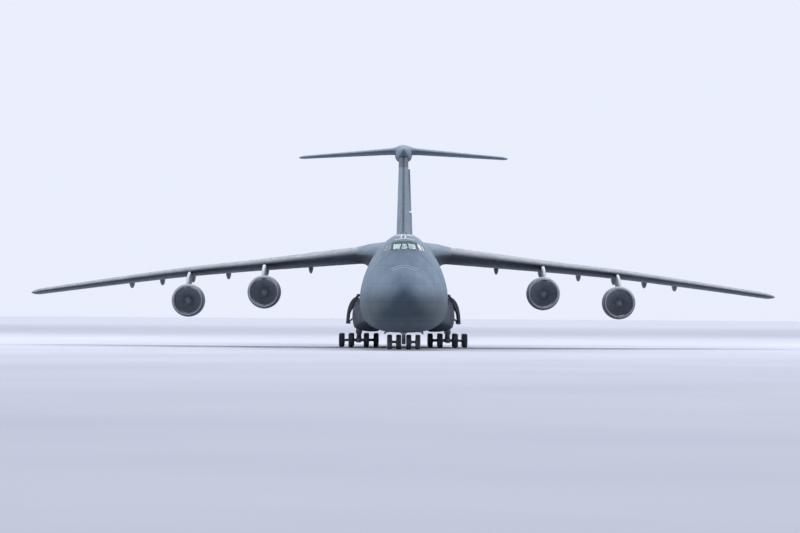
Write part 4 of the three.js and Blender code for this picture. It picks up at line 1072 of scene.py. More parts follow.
def pylon(n, x, z, s):
    x += math.copysign(0.15, x)  # stands a little outboard of the nacelle's middle
    y = abs(x)
    le, c, wz = wing_le(y), chord(y), wing_z(y)
    # level by level: height, front edge, rear edge
    levels = [(z + 0.52, s + 3.9, s + 6.5), (z + 0.8, s + 3.0, s + 7.0), (z + 1.02, s + 2.0, s + 7.4), (z + 1.2, s + 1.55, le + 0.22 * c), (z + 1.42, s + 1.75, le + 0.34 * c),
              (z + 1.75, s + 2.4, le + 0.46 * c), (z + 2.1, s + 3.1, le + 0.5 * c)]
    top = wz - 0.02
    levels = [v for v in levels if v[0] < top - 0.25] + [(top, le + 0.015 * c, le + 0.49 * c)]
    rings, front = [], []
    for zz, a, b in levels:
        w, run = 0.2, b - a
        half = [(0.0, 0.0), (0.01, 0.3), (0.04, 0.5), (0.1, 0.72), (0.22, 0.92), (0.4, 1.0), (0.6, 0.9), (0.8, 0.55), (0.93, 0.2), (1.0, 0.03)]
        rings.append([P(x + w * h, a + run * f, zz) for f, h in half] + [P(x - w * h, a + run * f, zz) for f, h in reversed(half[1:])])
        if zz > z + 1.0:  # pale strip along the front edge: a lighter fairing panel, made paler still as painted highlight of the light the rounded edge catches
            front.append([P(x + u, a + d, zz) for u, d in ((0, -0.012), (0.055, 0.0), (0.085, 0.06), (0.112, 0.26), (0.1, 0.3), (-0.1, 0.3), (-0.112, 0.26), (-0.085, 0.06), (-0.055, 0.0))])
    o = ring_loft(f"pylon_{n}_fairing", rings, "nacelle", angle=50)
    panel(o, lambda X, S, Z: (S * 0.7, Z))
    strip = ring_loft("strip", front, "edge", angle=60)
    o = joined(f"pylon_{n}_fairing", [o, strip])
    done(o, BODY, "grey_paint", f"pylon_{n}")


for n, x, z, s in ENGINES:
    engine(n, x, z, s)
    fan(n, x, z, s)
    pylon(n, x, z, s)

# --------------------------------------------------------------- landing gear
TYRE_R = 0.6225
TYRE = [(-0.15, 0.285), (-0.172, 0.30), (-0.196, 0.345), (-0.2155, 0.42), (-0.2155, 0.47), (-0.207, 0.53), (-0.188, 0.578), (-0.17, 0.600), (-0.152, 0.6135)]


def tyre_profile():
    left = list(TYRE)
    tread = []
    for g in (-0.105, -0.035, 0.035, 0.105):
        r = 0.6215 - 0.9 * g * g * 0.3
        tread += [(g - 0.011, r), (g - 0.008, r - 0.016), (g + 0.008, r - 0.016), (g + 0.011, r)]
    right = [(-d, r) for d, r in reversed(left)]
    return left + tread + right + [(0.13, 0.262), (-0.13, 0.262)]


RIM = [(-0.17, 0.292), (-0.178, 0.275), (-0.165, 0.258), (-0.10, 0.245), (-0.055, 0.225), (-0.045, 0.16), (-0.075, 0.13), (-0.125, 0.115),
       (-0.13, 0.085), (0.13, 0.085), (0.125, 0.115), (0.075, 0.13), (0.045, 0.16), (0.055, 0.225), (0.10, 0.245), (0.165, 0.258), (0.178, 0.275), (0.17, 0.292), (0.12, 0.268), (-0.12, 0.268)]


def disc(name, centre, axis, r, half, mat, sides=12):
    """Short round piece, its edges chamfered."""
    e = min(0.25 * half, 0.15 * r)
    return turned(name, [(-half, 0), (-half, r - e), (-half + e, r), (half - e, r), (half, r - e), (half, 0)], centre, axis, sides, mat)


def wheel(x, s, z=TYRE_R):
    parts = [
        turned("tyre", tyre_profile(), (x, s, z), "x", 56, "tyre", 24),
        turned("rim", RIM, (x, s, z), "x", 40, "hub", 24),
    ]
    for k in range(10):  # wheel bolts, both faces
        a = 2 * math.pi * k / 10
        for side in (-1, 1):
            parts.append(disc("bolt", (x + side * 0.058, s + 0.19 * math.cos(a), z + 0.19 * math.sin(a)), "x", 0.016, 0.018, "steel", 6))
    for k in range(8):  # vent holes, dark
        a = 2 * math.pi * (k + 0.5) / 8
        for side in (-1, 1):
            parts.append(disc("hole", (x + side * 0.052, s + 0.145 * math.cos(a), z + 0.145 * math.sin(a)), "x", 0.02, 0.004, "gap", 8))
    return parts


def wheel_set(node, xs, x0, x1, s, mirror=False):
    parts = []
    for x in xs:
        parts += wheel(x, s)
    mid = (x0 + x1) / 2
    short = [0.06 if min(abs(x - e) for x in xs) < 0.3 else 0.0 for e in (x0, x1)]  # the outer ends lie inside the wheels
    x0, x1 = x0 + short[0], x1 - short[1]
    a = turned("axle", [(x0, 0), (x0, 0.09), (x0 + 0.02, 0.108), (x1 - 0.02, 0.108), (x1, 0.09), (x1, 0)], (0, s, TYRE_R), "x", 20, "steel")
    parts.append(a)
    for x in xs:  # brake drum on the side that faces the leg
        d = -1 if x > mid else 1
        if abs(x - mid) > 1.2:
            d = -1 if x > mid else 1
        parts.append(turned("brake", [(d * 0.16, 0.095), (d * 0.16, 0.21), (d * 0.22, 0.21), (d * 0.235, 0.19), (d * 0.235, 0.095)], (x, s, TYRE_R), "x", 32, "core"))
    for x in (x0, x1):  # hub caps
        parts.append(disc("cap", (x + (0.02 if x > mid else -0.02) * 0, s, TYRE_R), "x", 0.105, 0.03, "hub", 16))
    o = joined(node + "_wheels", parts)
    if mirror:
        m = mirrored(o, node + "_wheels")
        drop(o)
        o = m
    done(o, node, "tyre", node)
    return o


def link(name, p, q, w, t, mat="strut", ends=0.06):
    """Flat forged arm between two points, in full-size metres, bosses at its ends."""
    a, b = Vector(p), Vector(q)
    d = (b - a).normalized()
    side = Vector((1, 0, 0))
    up_ = side.cross(d).normalized()
    rings = []
    for f, k in ((0, 1.0), (0.15, 0.8), (0.5, 0.62), (0.85, 0.8), (1, 1.0)):
        c = a + (b - a) * f
        rings.append([P(*(c + side * sx * w * k + up_ * sz * t * (0.7 + 0.3 * k))) for sx, sz in ((-1, -0.6), (-0.6, -1), (0.6, -1), (1, -0.6), (1, 0.6), (0.6, 1), (-0.6, 1), (-1, 0.6))])
    arm = ring_loft(name, rings, mat, angle=50)
    return [arm, disc("boss", p, "x", ends, w * 1.05, mat, 14), disc("boss", q, "x", ends, w * 1.05, mat, 14)]


def beam_parts(x, s):
    rows = [(-1.16, 0.10, 0.09), (-1.12, 0.17, 0.15), (-0.9, 0.19, 0.205), (-0.62, 0.165, 0.17), (-0.25, 0.19, 0.20), (0.25, 0.19, 0.20), (0.5, 0.165, 0.17), (0.751, 0.19, 0.205), (0.96, 0.17, 0.15), (1.0, 0.10, 0.09)]
    rings = []
    for d, w, h in rows:
        rings.append([P(x + w * u, s + d, TYRE_R + h * v) for u, v in ((-1, -0.5), (-0.6, -1), (0.6, -1), (1, -0.5), (1, 0.5), (0.6, 0.97), (-0.6, 0.97), (-1, 0.5))])
    b = ring_loft("beam", rings, "strut", angle=40)
    bores = [tube("bore", [P(x - 1, s + d, TYRE_R), P(x + 1, s + d, TYRE_R)], 0.13, "dark", 24) for d in (-0.9, 0.751)]
    csg(b, ("-", bores))
    out = [b]
    for d in (-0.9, 0.751):  # bearing caps beside the bores, above the axle
        for sx in (-1, 1):
            out.append(turned("cap", [(sx * 0.188, 0.135), (sx * 0.188, 0.19), (sx * 0.215, 0.18), (sx * 0.215, 0.135)], (x, s + d, TYRE_R), "x", 24, "steel"))
    # brake rods and hoses along the beam
    for sx in (-1, 1):
        out.append(tube("rod", [P(x + sx * 0.13, s - 1.05, TYRE_R - 0.2), P(x + sx * 0.13, s + 0.9, TYRE_R - 0.2)], 0.022, "steel", 8))
        out.append(tube("hose", [P(x + sx * 0.1, s - 0.7, TYRE_R + 0.2), P(x + sx * 0.12, s - 0.45, TYRE_R + 0.27), P(x + sx * 0.14, s - 0.25, TYRE_R + 0.3), P(x + sx * 0.15, s - 0.2, TYRE_R + 0.22)], 0.016, "hose", 8))
    return out


def piston(x, s, z1):
    """Rod in its dust boot, with its foot on the beam."""
    return [turned("piston", [(0.79, 0), (0.79, 0.205), (0.86, 0.205), (0.89, 0.19), (1.115, 0.185), (1.125, 0.142), (z1, 0.142), (z1, 0)], (x, s, 0), "z", 36, "strut")]


def leg_parts(x, s, gland, top=3.415):
    prof = [(gland, 0.155), (gland, 0.2), (gland + 0.03, 0.235), (1.30, 0.24), (1.34, 0.262), (1.46, 0.262), (1.5, 0.235), (1.70, 0.232), (1.74, 0.26), (1.96, 0.26), (2.0, 0.235), (2.7, 0.235), (2.74, 0.258),
            (2.86, 0.258), (2.9, 0.235), (top, 0.235), (top, 0.155)]
    out = [turned("cylinder", prof, (x, s, 0), "z", 40, "strut")]
    out.append(box("trunnion", x - 0.15, x + 0.15, s - 0.5, s + 0.5, 1.74, 1.96, "strut", 0.05))
    for d in (-0.5, 0.5):
        out.append(disc("pin", (x, s + d * 0.9, 1.85), "x", 0.12, 0.24, "steel", 20))
    # drag brace: two folding halves with a knuckle
    mid = ((s - 0.48), 2.55)
    out += link("brace", (x, s - 0.06, 1.92), (x, mid[0], mid[1]), 0.07, 0.06)
    out += link("brace", (x, mid[0], mid[1]), (x, s - 0.95, 3.2), 0.055, 0.05)
    out.append(tube("jack", [P(x + 0.16, s - 0.2, 2.1), P(x + 0.14, s - 0.75, 2.95)], 0.045, "steel", 12))
    out.append(tube("jack", [P(x + 0.16, s - 0.2, 2.1), P(x + 0.15, s - 0.45, 2.5)], 0.03, "chrome", 12))
    for k, sx in enumerate((-1, 1)):  # brake lines clipped to the leg
        pts = [(x + sx * 0.2, s + 0.16, 3.2), (x + sx * 0.21, s + 0.17, 2.4), (x + sx * 0.22, s + 0.17, 1.6), (x + sx * 0.21, s + 0.2, 1.36), (x + sx * 0.2, s + 0.25, 1.26)]
        out.append(tube("hose", [P(*p) for p in pts], 0.02, "hose", 8))
        for z in (3.0, 2.5, 2.1, 1.6):
            out.append(box("clip", x + sx * 0.2 - 0.03, x + sx * 0.2 + 0.03, s + 0.13, s + 0.2, z - 0.02, z + 0.02, "steel"))
    return out


GX = 3.957
for end, s in (("fore", 30.5), ("aft", 36.1)):
    leg = leg_parts(GX, s, 1.16)
    beam = beam_parts(GX, s)
    if end == "fore":
        leg += beam + piston(GX, s, 1.4)
        for sx in (-0.07, 0.07):
            leg += link("scissor", (GX + sx, s + 0.24, 1.40), (GX + sx, s + 0.52, 1.12), 0.025, 0.035, ends=0.04)
            leg += link("scissor", (GX + sx, s + 0.52, 1.12), (GX + sx, s + 0.24, 0.86), 0.025, 0.035, ends=0.04)
        leg.append(disc("knuckle", (GX, s + 0.52, 1.12), "x", 0.035, 0.12, "steel", 12))
    o = joined(f"main_leg_{end}_left_strut", leg)
    r = mirrored(o, f"main_leg_{end}_right_strut")
    done(o, BODY, "gear_metal", f"main_leg_{end}_left")
    done(r, BODY, "gear_metal", f"main_leg_{end}_right")
    if end == "aft":
        o = joined("main_bogie_aft_left_beam", beam + piston(GX, s, 1.25))
        r = mirrored(o, "main_bogie_aft_right_beam")
        done(o, "main_bogie_aft_left", "gear_metal", "main_bogie_aft_left")
        done(r, "main_bogie_aft_right", "gear_metal", "main_bogie_aft_right")
    for side in ("left", "right"):
        wheel_set(f"main_pair_{end}_{side}", [GX - 0.673, GX + 0.673], GX - 0.93, GX + 0.93, s - 0.9, side == "right")
        wheel_set(f"main_quad_{end}_{side}", [GX - 1.537, GX - 0.673, GX + 0.673, GX + 1.537], GX - 1.8, GX + 1.8, s + 0.751, side == "right")

# nose gear
NS = 11.1
for side in ("left", "right"):
    wheel_set(f"nose_wheels_{side}", [0.42, 1.18], 0.19, 1.42, NS, side == "right")
parts = [turned("cylinder", [(1.325, 0.1), (1.325, 0.24), (1.36, 0.268), (1.5, 0.268), (1.54, 0.235), (1.9, 0.235), (1.94, 0.262), (2.06, 0.262), (2.1, 0.235), (2.365, 0.235), (2.365, 0.1)], (0, NS, 0), "z", 40, "strut")]
parts.append(turned("pin", [(-0.6, 0), (-0.6, 0.085), (-0.57, 0.1), (0.57, 0.1), (0.6, 0.085), (0.6, 0)], (0, NS, 2.2), "x", 24, "strut"))
for sx in (-1, 1):
    parts.append(box("lug", sx * 0.62 - 0.06, sx * 0.62 + 0.06, NS - 0.16, NS + 0.16, 2.05, 2.37, "strut", 0.03))
    parts.append(disc("lamp_bowl", (sx * 0.33, NS - 0.27, 1.66), "y", 0.115, 0.06, "steel", 24))
    parts.append(disc("lamp_glass", (sx * 0.33, NS - 0.335, 1.66), "y", 0.1, 0.012, "lens", 24))
    parts.append(tube("arm", [P(sx * 0.2, NS - 0.1, 1.66), P(sx * 0.33, NS - 0.22, 1.66)], 0.03, "steel", 8))
parts.append(tube("jack", [P(0, NS + 0.2, 1.6), P(0, NS + 0.95, 2.3)], 0.07, "strut", 14))
parts.append(tube("jack", [P(0, NS + 0.2, 1.6), P(0, NS + 0.55, 1.93)], 0.045, "chrome", 14))
for sx in (-1, 1):
    parts.append(tube("steer", [P(sx * 0.30, NS - 0.05, 1.44), P(sx * 0.30, NS + 0.42, 1.44)], 0.05, "steel", 12))
    parts.append(tube("hose", [P(sx * 0.24, NS + 0.08, 2.3), P(sx * 0.27, NS + 0.12, 1.9), P(sx * 0.25, NS + 0.12, 1.5)], 0.02, "hose", 8))
done(joined("nose_gear_leg_strut", parts), BODY, "gear_metal", "nose_gear_leg")

parts = [turned("piston", [(0.52, 0), (0.52, 0.15), (0.78, 0.175), (0.84, 0.175), (0.86, 0.158), (1.24, 0.158), (1.245, 0.182), (1.30, 0.182), (1.30, 0)], (0, NS, 0), "z", 36, "strut")]
parts.append(box("axle_block", -0.165, 0.165, NS - 0.19, NS + 0.19, TYRE_R - 0.19, TYRE_R + 0.19, "strut", 0.05))
parts.append(box("tow_arm", -0.075, 0.075, NS - 0.38, NS - 0.1, TYRE_R - 0.07, TYRE_R + 0.07, "strut", 0.03))
parts.append(turned("tow_eye", [(-0.05, 0.045), (-0.05, 0.09), (0.05, 0.09), (0.05, 0.045)], (0, NS - 0.33, TYRE_R), "z", 24, "steel"))
for sx in (-0.08, 0.08):
    parts += link("scissor", (sx, NS + 0.16, 1.27), (sx, NS + 0.42, 1.03), 0.025, 0.035, ends=0.04)
    parts += link("scissor", (sx, NS + 0.42, 1.03), (sx, NS + 0.16, 0.8), 0.025, 0.035, ends=0.04)
parts.append(disc("knuckle", (0, NS + 0.42, 1.03), "x", 0.035, 0.13, "steel", 12))
done(joined("nose_gear_steering_strut", parts), "nose_gear_steering", "gear_metal", "nose_gear_steering")

# nose gear doors: folded up beside the well, their lower edges below the belly
doors = []
for sx in (-1, 1):
    for s0, s1 in ((9.98, 11.1), (11.14, 12.28)):
        b = prism("door", [(sx * 1.52, 1.55), (sx * 1.58, 1.55), (sx * 1.66, 1.30), (sx * 1.60, 1.27)], "s", s0, s1, "plain")
        doors.append(b)
        for s in np.linspace(s0 + 0.15, s1 - 0.15, 3):
            doors.append(box("rib", sx * 1.50 - 0.03, sx * 1.50 + 0.04, s - 0.02, s + 0.02, 1.31, 1.52, "inside"))
    for s in (10.2, 11.12, 12.1):
        doors.append(tube("hinge", [P(sx * 1.2, s, 1.46), P(sx * 1.5, s, 1.44), P(sx * 1.57, s, 1.36)], 0.028, "steel", 8))
done(joined("nose_gear_doors", doors), BODY, "grey_paint")
# well lining: frames across the roof and hydraulic lines
lining = []
for s in np.linspace(10.1, 12.15, 7):
    lining.append(box("frame", -0.79, 0.79, s - 0.03, s + 0.03, 2.29, 2.378, "inside"))
for sx in (-1, 1):
    lining.append(tube("line", [P(sx * 0.7, 10.0, 2.15), P(sx * 0.7, 12.25, 2.15)], 0.02, "steel", 8))
    lining.append(tube("line", [P(sx * 0.76, 10.0, 1.9), P(sx * 0.76, 12.25, 1.9)], 0.014, "hose", 8))
done(joined("nose_well_lining", lining), BODY, "grey_paint")

# gear pods
POD_ROWS = [(24.0, 0.12), (25.6, 0.62), (27.6, 1.0), (39.2, 1.0), (41.6, 0.62), (43.8, 0.12)]
POD_OUT = [(2.0, 1.42), (3.0, 1.4), (3.75, 1.5), (4.32, 1.76), (4.42, 2.1), (4.5, 2.7), (4.46, 3.4), (4.25, 3.96), (3.92, 4.36), (3.5, 4.7), (2.3, 4.9)]


def rounded(points, times=3, first=0.12):
    """Corner cutting on a closed outline."""
    for t in range(times):
        k = first if t == 0 else 0.25
        out = []
        for a, b in zip(points, points[1:] + points[:1]):
            out.append((a[0] * (1 - k) + b[0] * k, a[1] * (1 - k) + b[1] * k))
            out.append((a[0] * k + b[0] * (1 - k), a[1] * k + b[1] * (1 - k)))
        points = out
    return points


outline = rounded(POD_OUT, 3)
rings = []
for s in sorted(set(np.linspace(24.0, 28.4, 23).tolist() + np.linspace(28.4, 38.4, 21).tolist() + np.linspace(38.4, 43.8, 25).tolist())):
    g = float(pchip([r[0] for r in POD_ROWS], [r[1] for r in POD_ROWS], s))
    rings.append([P(3.05 + (x - 3.05) * (g if x > 3.05 else 1), s, 3.2 + (z - 3.2) * (0.45 + 0.55 * g)) for x, z in outline])
pod = ring_loft("gear_pod_left_skin", rings, "pod", angle=50)
cuts = [box("cut", GX - 0.95, GX + 0.36, s - 1.15, s + 1.15, 0, 3.42, "dark") for s in (30.5, 36.1)]
csg(pod, ("-", hull_body("cut", 22, 46, -0.02, 144)), ("-", cuts))
shade(pod, 34)
panel(pod, lambda x, s, z: (s, z))
parts = [pod]
for s in (30.5, 36.1):  # frames and pipes in the wells
    for d in np.linspace(-1.0, 1.0, 6):
        parts.append(box("frame", GX - 0.93, GX + 0.34, s + d - 0.03, s + d + 0.03, 3.32, 3.418, "inside"))
    for d in (-1.13, 1.09):
        parts.append(box("frame", GX - 0.9, GX - 0.84, s + d, s + d + 0.04, 1.9, 3.4, "inside"))
        parts.append(box("frame", GX - 0.3, GX - 0.24, s + d, s + d + 0.04, 1.7, 3.4, "inside"))
    parts.append(tube("pipe", [P(GX - 0.86, s - 1.1, 3.2), P(GX - 0.86, s + 1.1, 3.2)], 0.03, "steel", 8))
    parts.append(tube("pipe", [P(GX - 0.8, s - 1.1, 3.05), P(GX - 0.8, s + 1.1, 3.05)], 0.02, "hose", 8))
pods = joined("gear_pod_left_skin", parts)
r = mirrored(pods, "gear_pod_right_skin")
done(pods, BODY, "grey_paint", "gear_pod_left")
done(r, BODY, "grey_paint", "gear_pod_right")

# open gear doors: curved skins with deep ribs inside, hung on a tube
DOOR = [(3.94, 4.46), (4.44, 4.06), (4.72, 3.45), (4.84, 2.75), (4.88, 2.08)]


def door_at(f):
    i = f * (len(DOOR) - 1)
    ts = range(len(DOOR))
    return float(pchip(ts, [p[0] for p in DOOR], i)), float(pchip(ts, [p[1] for p in DOOR], i))


def door_side(f, depth):
    a, b = door_at(max(f - 0.02, 0)), door_at(min(f + 0.02, 1))
    l = math.hypot(b[0] - a[0], b[1] - a[1])
    nx, nz = (b[1] - a[1]) / l, -(b[0] - a[0]) / l  # towards the pod
    x, z = door_at(f)
    return x + nx * depth, z + nz * depth


def door_strip(f0, f1, d0, d1, s0, s1, mat, n=14):
    """Curved plate between two depths, inward from the door's outside."""
    fs = np.linspace(f0, f1, n)
    out = [door_side(f, d0(f) if callable(d0) else d0) for f in fs]
    back = [door_side(f, d1(f) if callable(d1) else d1) for f in reversed(fs)]
    o = prism("door", out + back, "s", s0, s1, mat)
    shade(o, 34)
    return o


doors = []
for s in (30.5, 36.1):
    a, b = s - 2.25, s + 2.25
    skin_ = door_strip(0, 1, -0.168, -0.09, a, b, "door", 24)
    doors.append(skin_)
    inner = lambda f: (0.2 * math.sin(math.pi * min(max(f * 0.9, 0.06), 0.97)) ** 0.6) * (1 - 0.75 * min(max((f - 0.45) / 0.2, 0), 1)) - 0.03
    for e in np.linspace(a + 0.03, b - 0.03, 9):
        doors.append(door_strip(0.05, 0.985, -0.1, inner, e - 0.028, e + 0.028, "door", 16))
    for f in (0.06, 0.3, 0.52, 0.74, 0.97):
        x, z = door_side(f, -0.03)
        doors.append(tube("stringer", [P(x, a + 0.03, z), P(x, b - 0.03, z)], 0.04, "door", 8))
    doors.append(door_strip(0.935, 1, -0.168, 0.1, a, b, "door", 6))
    for e in (a + 0.55, s, b - 0.55):
        # hinge arms to the tube, then the folding links to the pod
        doors.append(tube("arm", [P(4.06, e, 4.64), P(4.12, e, 4.5), P(*((door_side(0.25, -0.02)[0]), e, door_side(0.25, -0.02)[1]))], 0.06, "strut", 10))
    for e in (a + 0.9, b - 0.9):
        x, z = door_side(0.52, 0.02)
        doors += [tube("link", [P(4.36, e, 3.92), P(x, e, z)], 0.05, "strut", 10), tube("link", [P(4.36, e + 0.16, 3.55), P(x, e, z)], 0.035, "steel", 10)]
        x2, z2 = door_side(0.3, 0.02)
        doors.append(tube("link", [P(4.42, e, 3.45), P(x2, e, z2)], 0.04, "strut", 10))
        doors.append(disc("pivot", (x, e, z), "y", 0.09, 0.07, "steel", 14))
        x3, z3 = door_side(0.93, 0.0)
        doors.append(tube("link", [P(4.44, e, 2.62), P(4.72, e, 2.36), P(x3, e, z3)], 0.035, "strut", 10))
doors.append(tube("hinge_tube", [P(4.06, 28.1, 4.64), P(4.06, 38.5, 4.64)], 0.075, "strut", 16))
for s in np.linspace(28.4, 38.2, 12):
    doors.append(box("bracket", 3.72, 4.1, s - 0.05, s + 0.05, 4.52, 4.7, "plain", 0.02))
doors = joined("gear_doors_left_skin", doors)
panel(doors, lambda x, s, z: (s, z))
r = mirrored(doors, "gear_doors_right_skin")
done(doors, BODY, "grey_paint", "gear_doors_left")
done(r, BODY, "grey_paint", "gear_doors_right")

# ------------------------------------------------------------------- interiors
def wall_strip(s0, s1, grow_out, grow_in, a0, a1, n, mat, clip=None):
    """Curved bar on the inside of the hull between two ring angles; clip limits its height."""
    rows = []
    for k in range(n + 1):
        a = a0 + (a1 - a0) * k / n
        q = [hull_xz(s0, a, grow_out), hull_xz(s1, a, grow_out), hull_xz(s1, a, grow_in), hull_xz(s0, a, grow_in)]
        if clip and not all(clip[0] <= p[1] <= clip[1] for p in q):
            continue
        rows.append([P(q[0][0], s0, q[0][1]), P(q[1][0], s1, q[1][1]), P(q[2][0], s1, q[2][1]), P(q[3][0], s0, q[3][1])])
    return ring_loft("strip", rows, mat, angle=40) if len(rows) > 1 else None


parts = []
for s in np.arange(9.9, 47.3, 0.9):
    thin = 0.13 if s < 21.9 else 0.0  # the wall is thinner ahead
    for side in (0, 1):
        a0, a1 = (-0.75, 0.75) if side == 0 else (math.pi + 0.75, math.pi - 0.75)
        f = wall_strip(s - 0.035, s + 0.035, thin - 0.28, thin - 0.42, a0, a1, 26, "inside", (2.5, 6.6))
        if f:
            parts.append(f)
for z in (3.2, 4.1, 5.0, 5.8):  # stringers
    for sx in (-1, 1):
        for run, depth in (((9.2, 12, 16, 21.9), -0.2), ((22.1, 24, 32, 40, 47), -0.33)):
            parts.append(tube("stringer", [P(sx * hull_x(s, z, depth), s, z) for s in run], 0.03, "inside", 6))
for x in (-1.75, -1.25, -0.6, 0.6, 1.25, 1.75):  # roller rails
    parts.append(box("rail", x - 0.07, x + 0.07, 8.95, 47.45, 2.5, 2.512, "steel"))
    for s in np.arange(9.3, 47.3, 0.6):
        parts.append(box("roller", x - 0.05, x + 0.05, s - 0.035, s + 0.035, 2.505, 2.528, "chrome"))
for x in (-2.55, -2.0, 0.0, 2.0, 2.55):  # tie-down pots
    for s in np.arange(9.6, 47.2, 1.2):
        parts.append(turned("pot", [(2.5, 0.035), (2.5, 0.085), (2.512, 0.08), (2.512, 0.04)], (x, s, 0), "z", 10, "steel"))
for sx in (-1, 1):  # ducts, cable runs and lamps under the ceiling
    parts.append(tube("duct", [P(sx * 2.05, 9.2, 6.4), P(sx * 2.05, 47.3, 6.4)], 0.13, "plain", 16))
    parts.append(tube("cable", [P(sx * 1.72, 9.2, 6.5), P(sx * 1.72, 47.3, 6.5)], 0.05, "hose", 8))
    for s in np.arange(11, 46, 2.7):
        parts.append(box("lamp", sx * 1.1 - 0.12, sx * 1.1 + 0.12, s - 0.6, s + 0.6, 6.53, 6.598, "white", 0.02))
for s in np.arange(9.9, 47.3, 1.8):
    parts.append(box("ceiling_frame", -2.6, 2.6, s - 0.04, s + 0.04, 6.5, 6.6, "inside"))
hold_fit = joined("hold_fittings", parts)
done(hold_fit, BODY, "grey_paint")

# visor: ring frames inside
parts = []
for s in (1.6, 2.4, 3.2, 4.0, 4.8, 5.6, 6.4, 7.2, 8.0):
    rows = []
    for k in range(73):
        a = 2 * math.pi * k / 72
        q = [hull_xz(s - 0.04, a, -0.25), hull_xz(s + 0.04, a, -0.25), hull_xz(s + 0.04, a, -0.36), hull_xz(s - 0.04, a, -0.36)]
        rows.append([P(q[0][0], s - 0.04, q[0][1]), P(q[1][0], s + 0.04, q[1][1]), P(q[2][0], s + 0.04, q[2][1]), P(q[3][0], s - 0.04, q[3][1])])
    verts = [p for r in rows[:-1] for p in r]
    faces = [(4 * i + k, 4 * ((i + 1) % 72) + k, 4 * ((i + 1) % 72) + (k + 1) % 4, 4 * i + (k + 1) % 4) for i in range(72) for k in range(4)]
    ring = make("frame", verts, faces, "inside", angle=50)
    parts.append(csg(ring, ("&", break_side("cut", True, -0.03))))
inner = joined("visor_frames", parts)
done(inner, "visor", "grey_paint")

# forward ramp: plate with deep ribs, rails and lugs
parts = [box("plate", -2.6, 2.6, 8.52, 8.60, 2.44, 5.3, "floor_in"), box("plate", -2.45, 2.45, 8.52, 8.60, 5.3, 6.38, "floor_in")]
for x in np.linspace(-2.4, 2.4, 11):
    parts.append(box("rib", x - 0.035, x + 0.035, 8.425, 8.53, 2.5, 6.3, "steel", 0.01))
for z in (2.5, 3.2, 3.9, 4.6, 5.3, 6.0, 6.34):
    w = 2.58 if z < 5.25 else 2.43
    parts.append(box("rib", -w, w, 8.43, 8.53, z - 0.03, z + 0.03, "steel", 0.01))
for x in (-1.7, -0.6, 0.6, 1.7):
    parts.append(box("rail", x - 0.06, x + 0.06, 8.595, 8.612, 2.5, 6.2, "chrome"))
for x in np.linspace(-2.2, 2.2, 7):
    parts.append(disc("lug", (x, 8.46, 2.46), "x", 0.055, 0.09, "strut", 16))
done(joined("forward_ramp_panel", parts), "forward_ramp", "ramp_metal", "forward_ramp")

# rails along the aft ramp's floor face
parts = []
for x in (-1.7, -0.6, 0.6, 1.7):
    parts.append(cell("rail", [[(x - 0.06, 47.6, 2.461), (x + 0.06, 47.6, 2.461), (x + 0.06, 47.6, 2.49), (x - 0.06, 47.6, 2.49)],
                               [(x - 0.06, 53.1, 3.185), (x + 0.06, 53.1, 3.185), (x + 0.06, 53.1, 3.22), (x - 0.06, 53.1, 3.22)]], "steel"))
done(joined("aft_ramp_rails", parts), "aft_ramp", "ramp_metal")

# flight deck
parts = [box("floor", -1.75, 1.75, 7.0, 11.9, 7.201, 7.28, "cabin", 0.01)]
panel_shape = [(7.1, 7.25), (7.1, 8.02), (7.16, 8.1), (7.44, 8.1), (7.42, 8.05), (7.36, 7.72), (7.42, 7.5), (7.42, 7.25)]
parts.append(prism("board", panel_shape, "x", -1.2, 1.2, "cabin"))
parts.append(box("shield", -1.22, 1.22, 7.08, 7.5, 8.08, 8.12, "dark", 0.015))
for x in (-0.85, -0.5, -0.15, 0.15, 0.5, 0.85):
    parts.append(box("screen", x - 0.14, x + 0.14, 7.385, 7.41, 7.76, 8.0, "glass", 0.006))
    for z in (7.58, 7.66):
        for d in (-0.09, -0.03, 0.03, 0.09):
            parts.append(disc("knob", (x + d, 7.40, z), "y", 0.018, 0.02, "steel", 8))
parts.append(prism("pedestal", [(7.35, 7.25), (7.35, 7.7), (7.6, 7.74), (8.58, 7.7), (8.6, 7.25)], "x", -0.2, 0.2, "cabin"))
for x in (-0.12, -0.04, 0.04, 0.12):
    parts.append(tube("lever", [P(x, 7.85, 7.7), P(x, 7.78, 7.88)], 0.014, "steel", 8))
    parts.append(disc("grip", (x, 7.775, 7.9), "x", 0.028, 0.026, "dark", 12))
for sx in (-1, 1):
    parts.append(tube("column", [P(sx * 0.62, 7.48, 7.3), P(sx * 0.62, 7.6, 7.82)], 0.03, "steel", 10))
    wheel_pts = [P(sx * 0.62 + 0.15 * math.cos(a), 7.62, 7.86 + 0.11 * math.sin(a)) for a in np.linspace(math.radians(150), math.radians(390), 14)]
    parts.append(tube("yoke", wheel_pts, 0.02, "dark", 8))
for x, s in ((0.62, 8.0), (-0.62, 8.0), (-1.0, 9.6)):
    parts.append(box("base", x - 0.2, x + 0.2, s - 0.2, s + 0.24, 7.25, 7.56, "steel", 0.02))
    parts.append(box("cushion", x - 0.26, x + 0.26, s - 0.26, s + 0.26, 7.56, 7.72, "seat", 0.05))
    parts.append(box("back", x - 0.25, x + 0.25, s + 0.2, s + 0.34, 7.64, 8.28, "seat", 0.05))
    parts.append(box("head", x - 0.13, x + 0.13, s + 0.22, s + 0.32, 8.3, 8.54, "seat", 0.04))
    for sx in (-1, 1):
        parts.append(box("arm", x + sx * 0.28 - 0.03, x + sx * 0.28 + 0.03, s - 0.15, s + 0.25, 7.86, 7.92, "dark", 0.02))
        parts.append(box("strap", x + sx * 0.09 - 0.02, x + sx * 0.09 + 0.02, s + 0.185, s + 0.2, 7.75, 8.25, "white"))
parts.append(box("overhead", -0.5, 0.5, 7.35, 8.3, 8.93, 8.99, "cabin", 0.01))
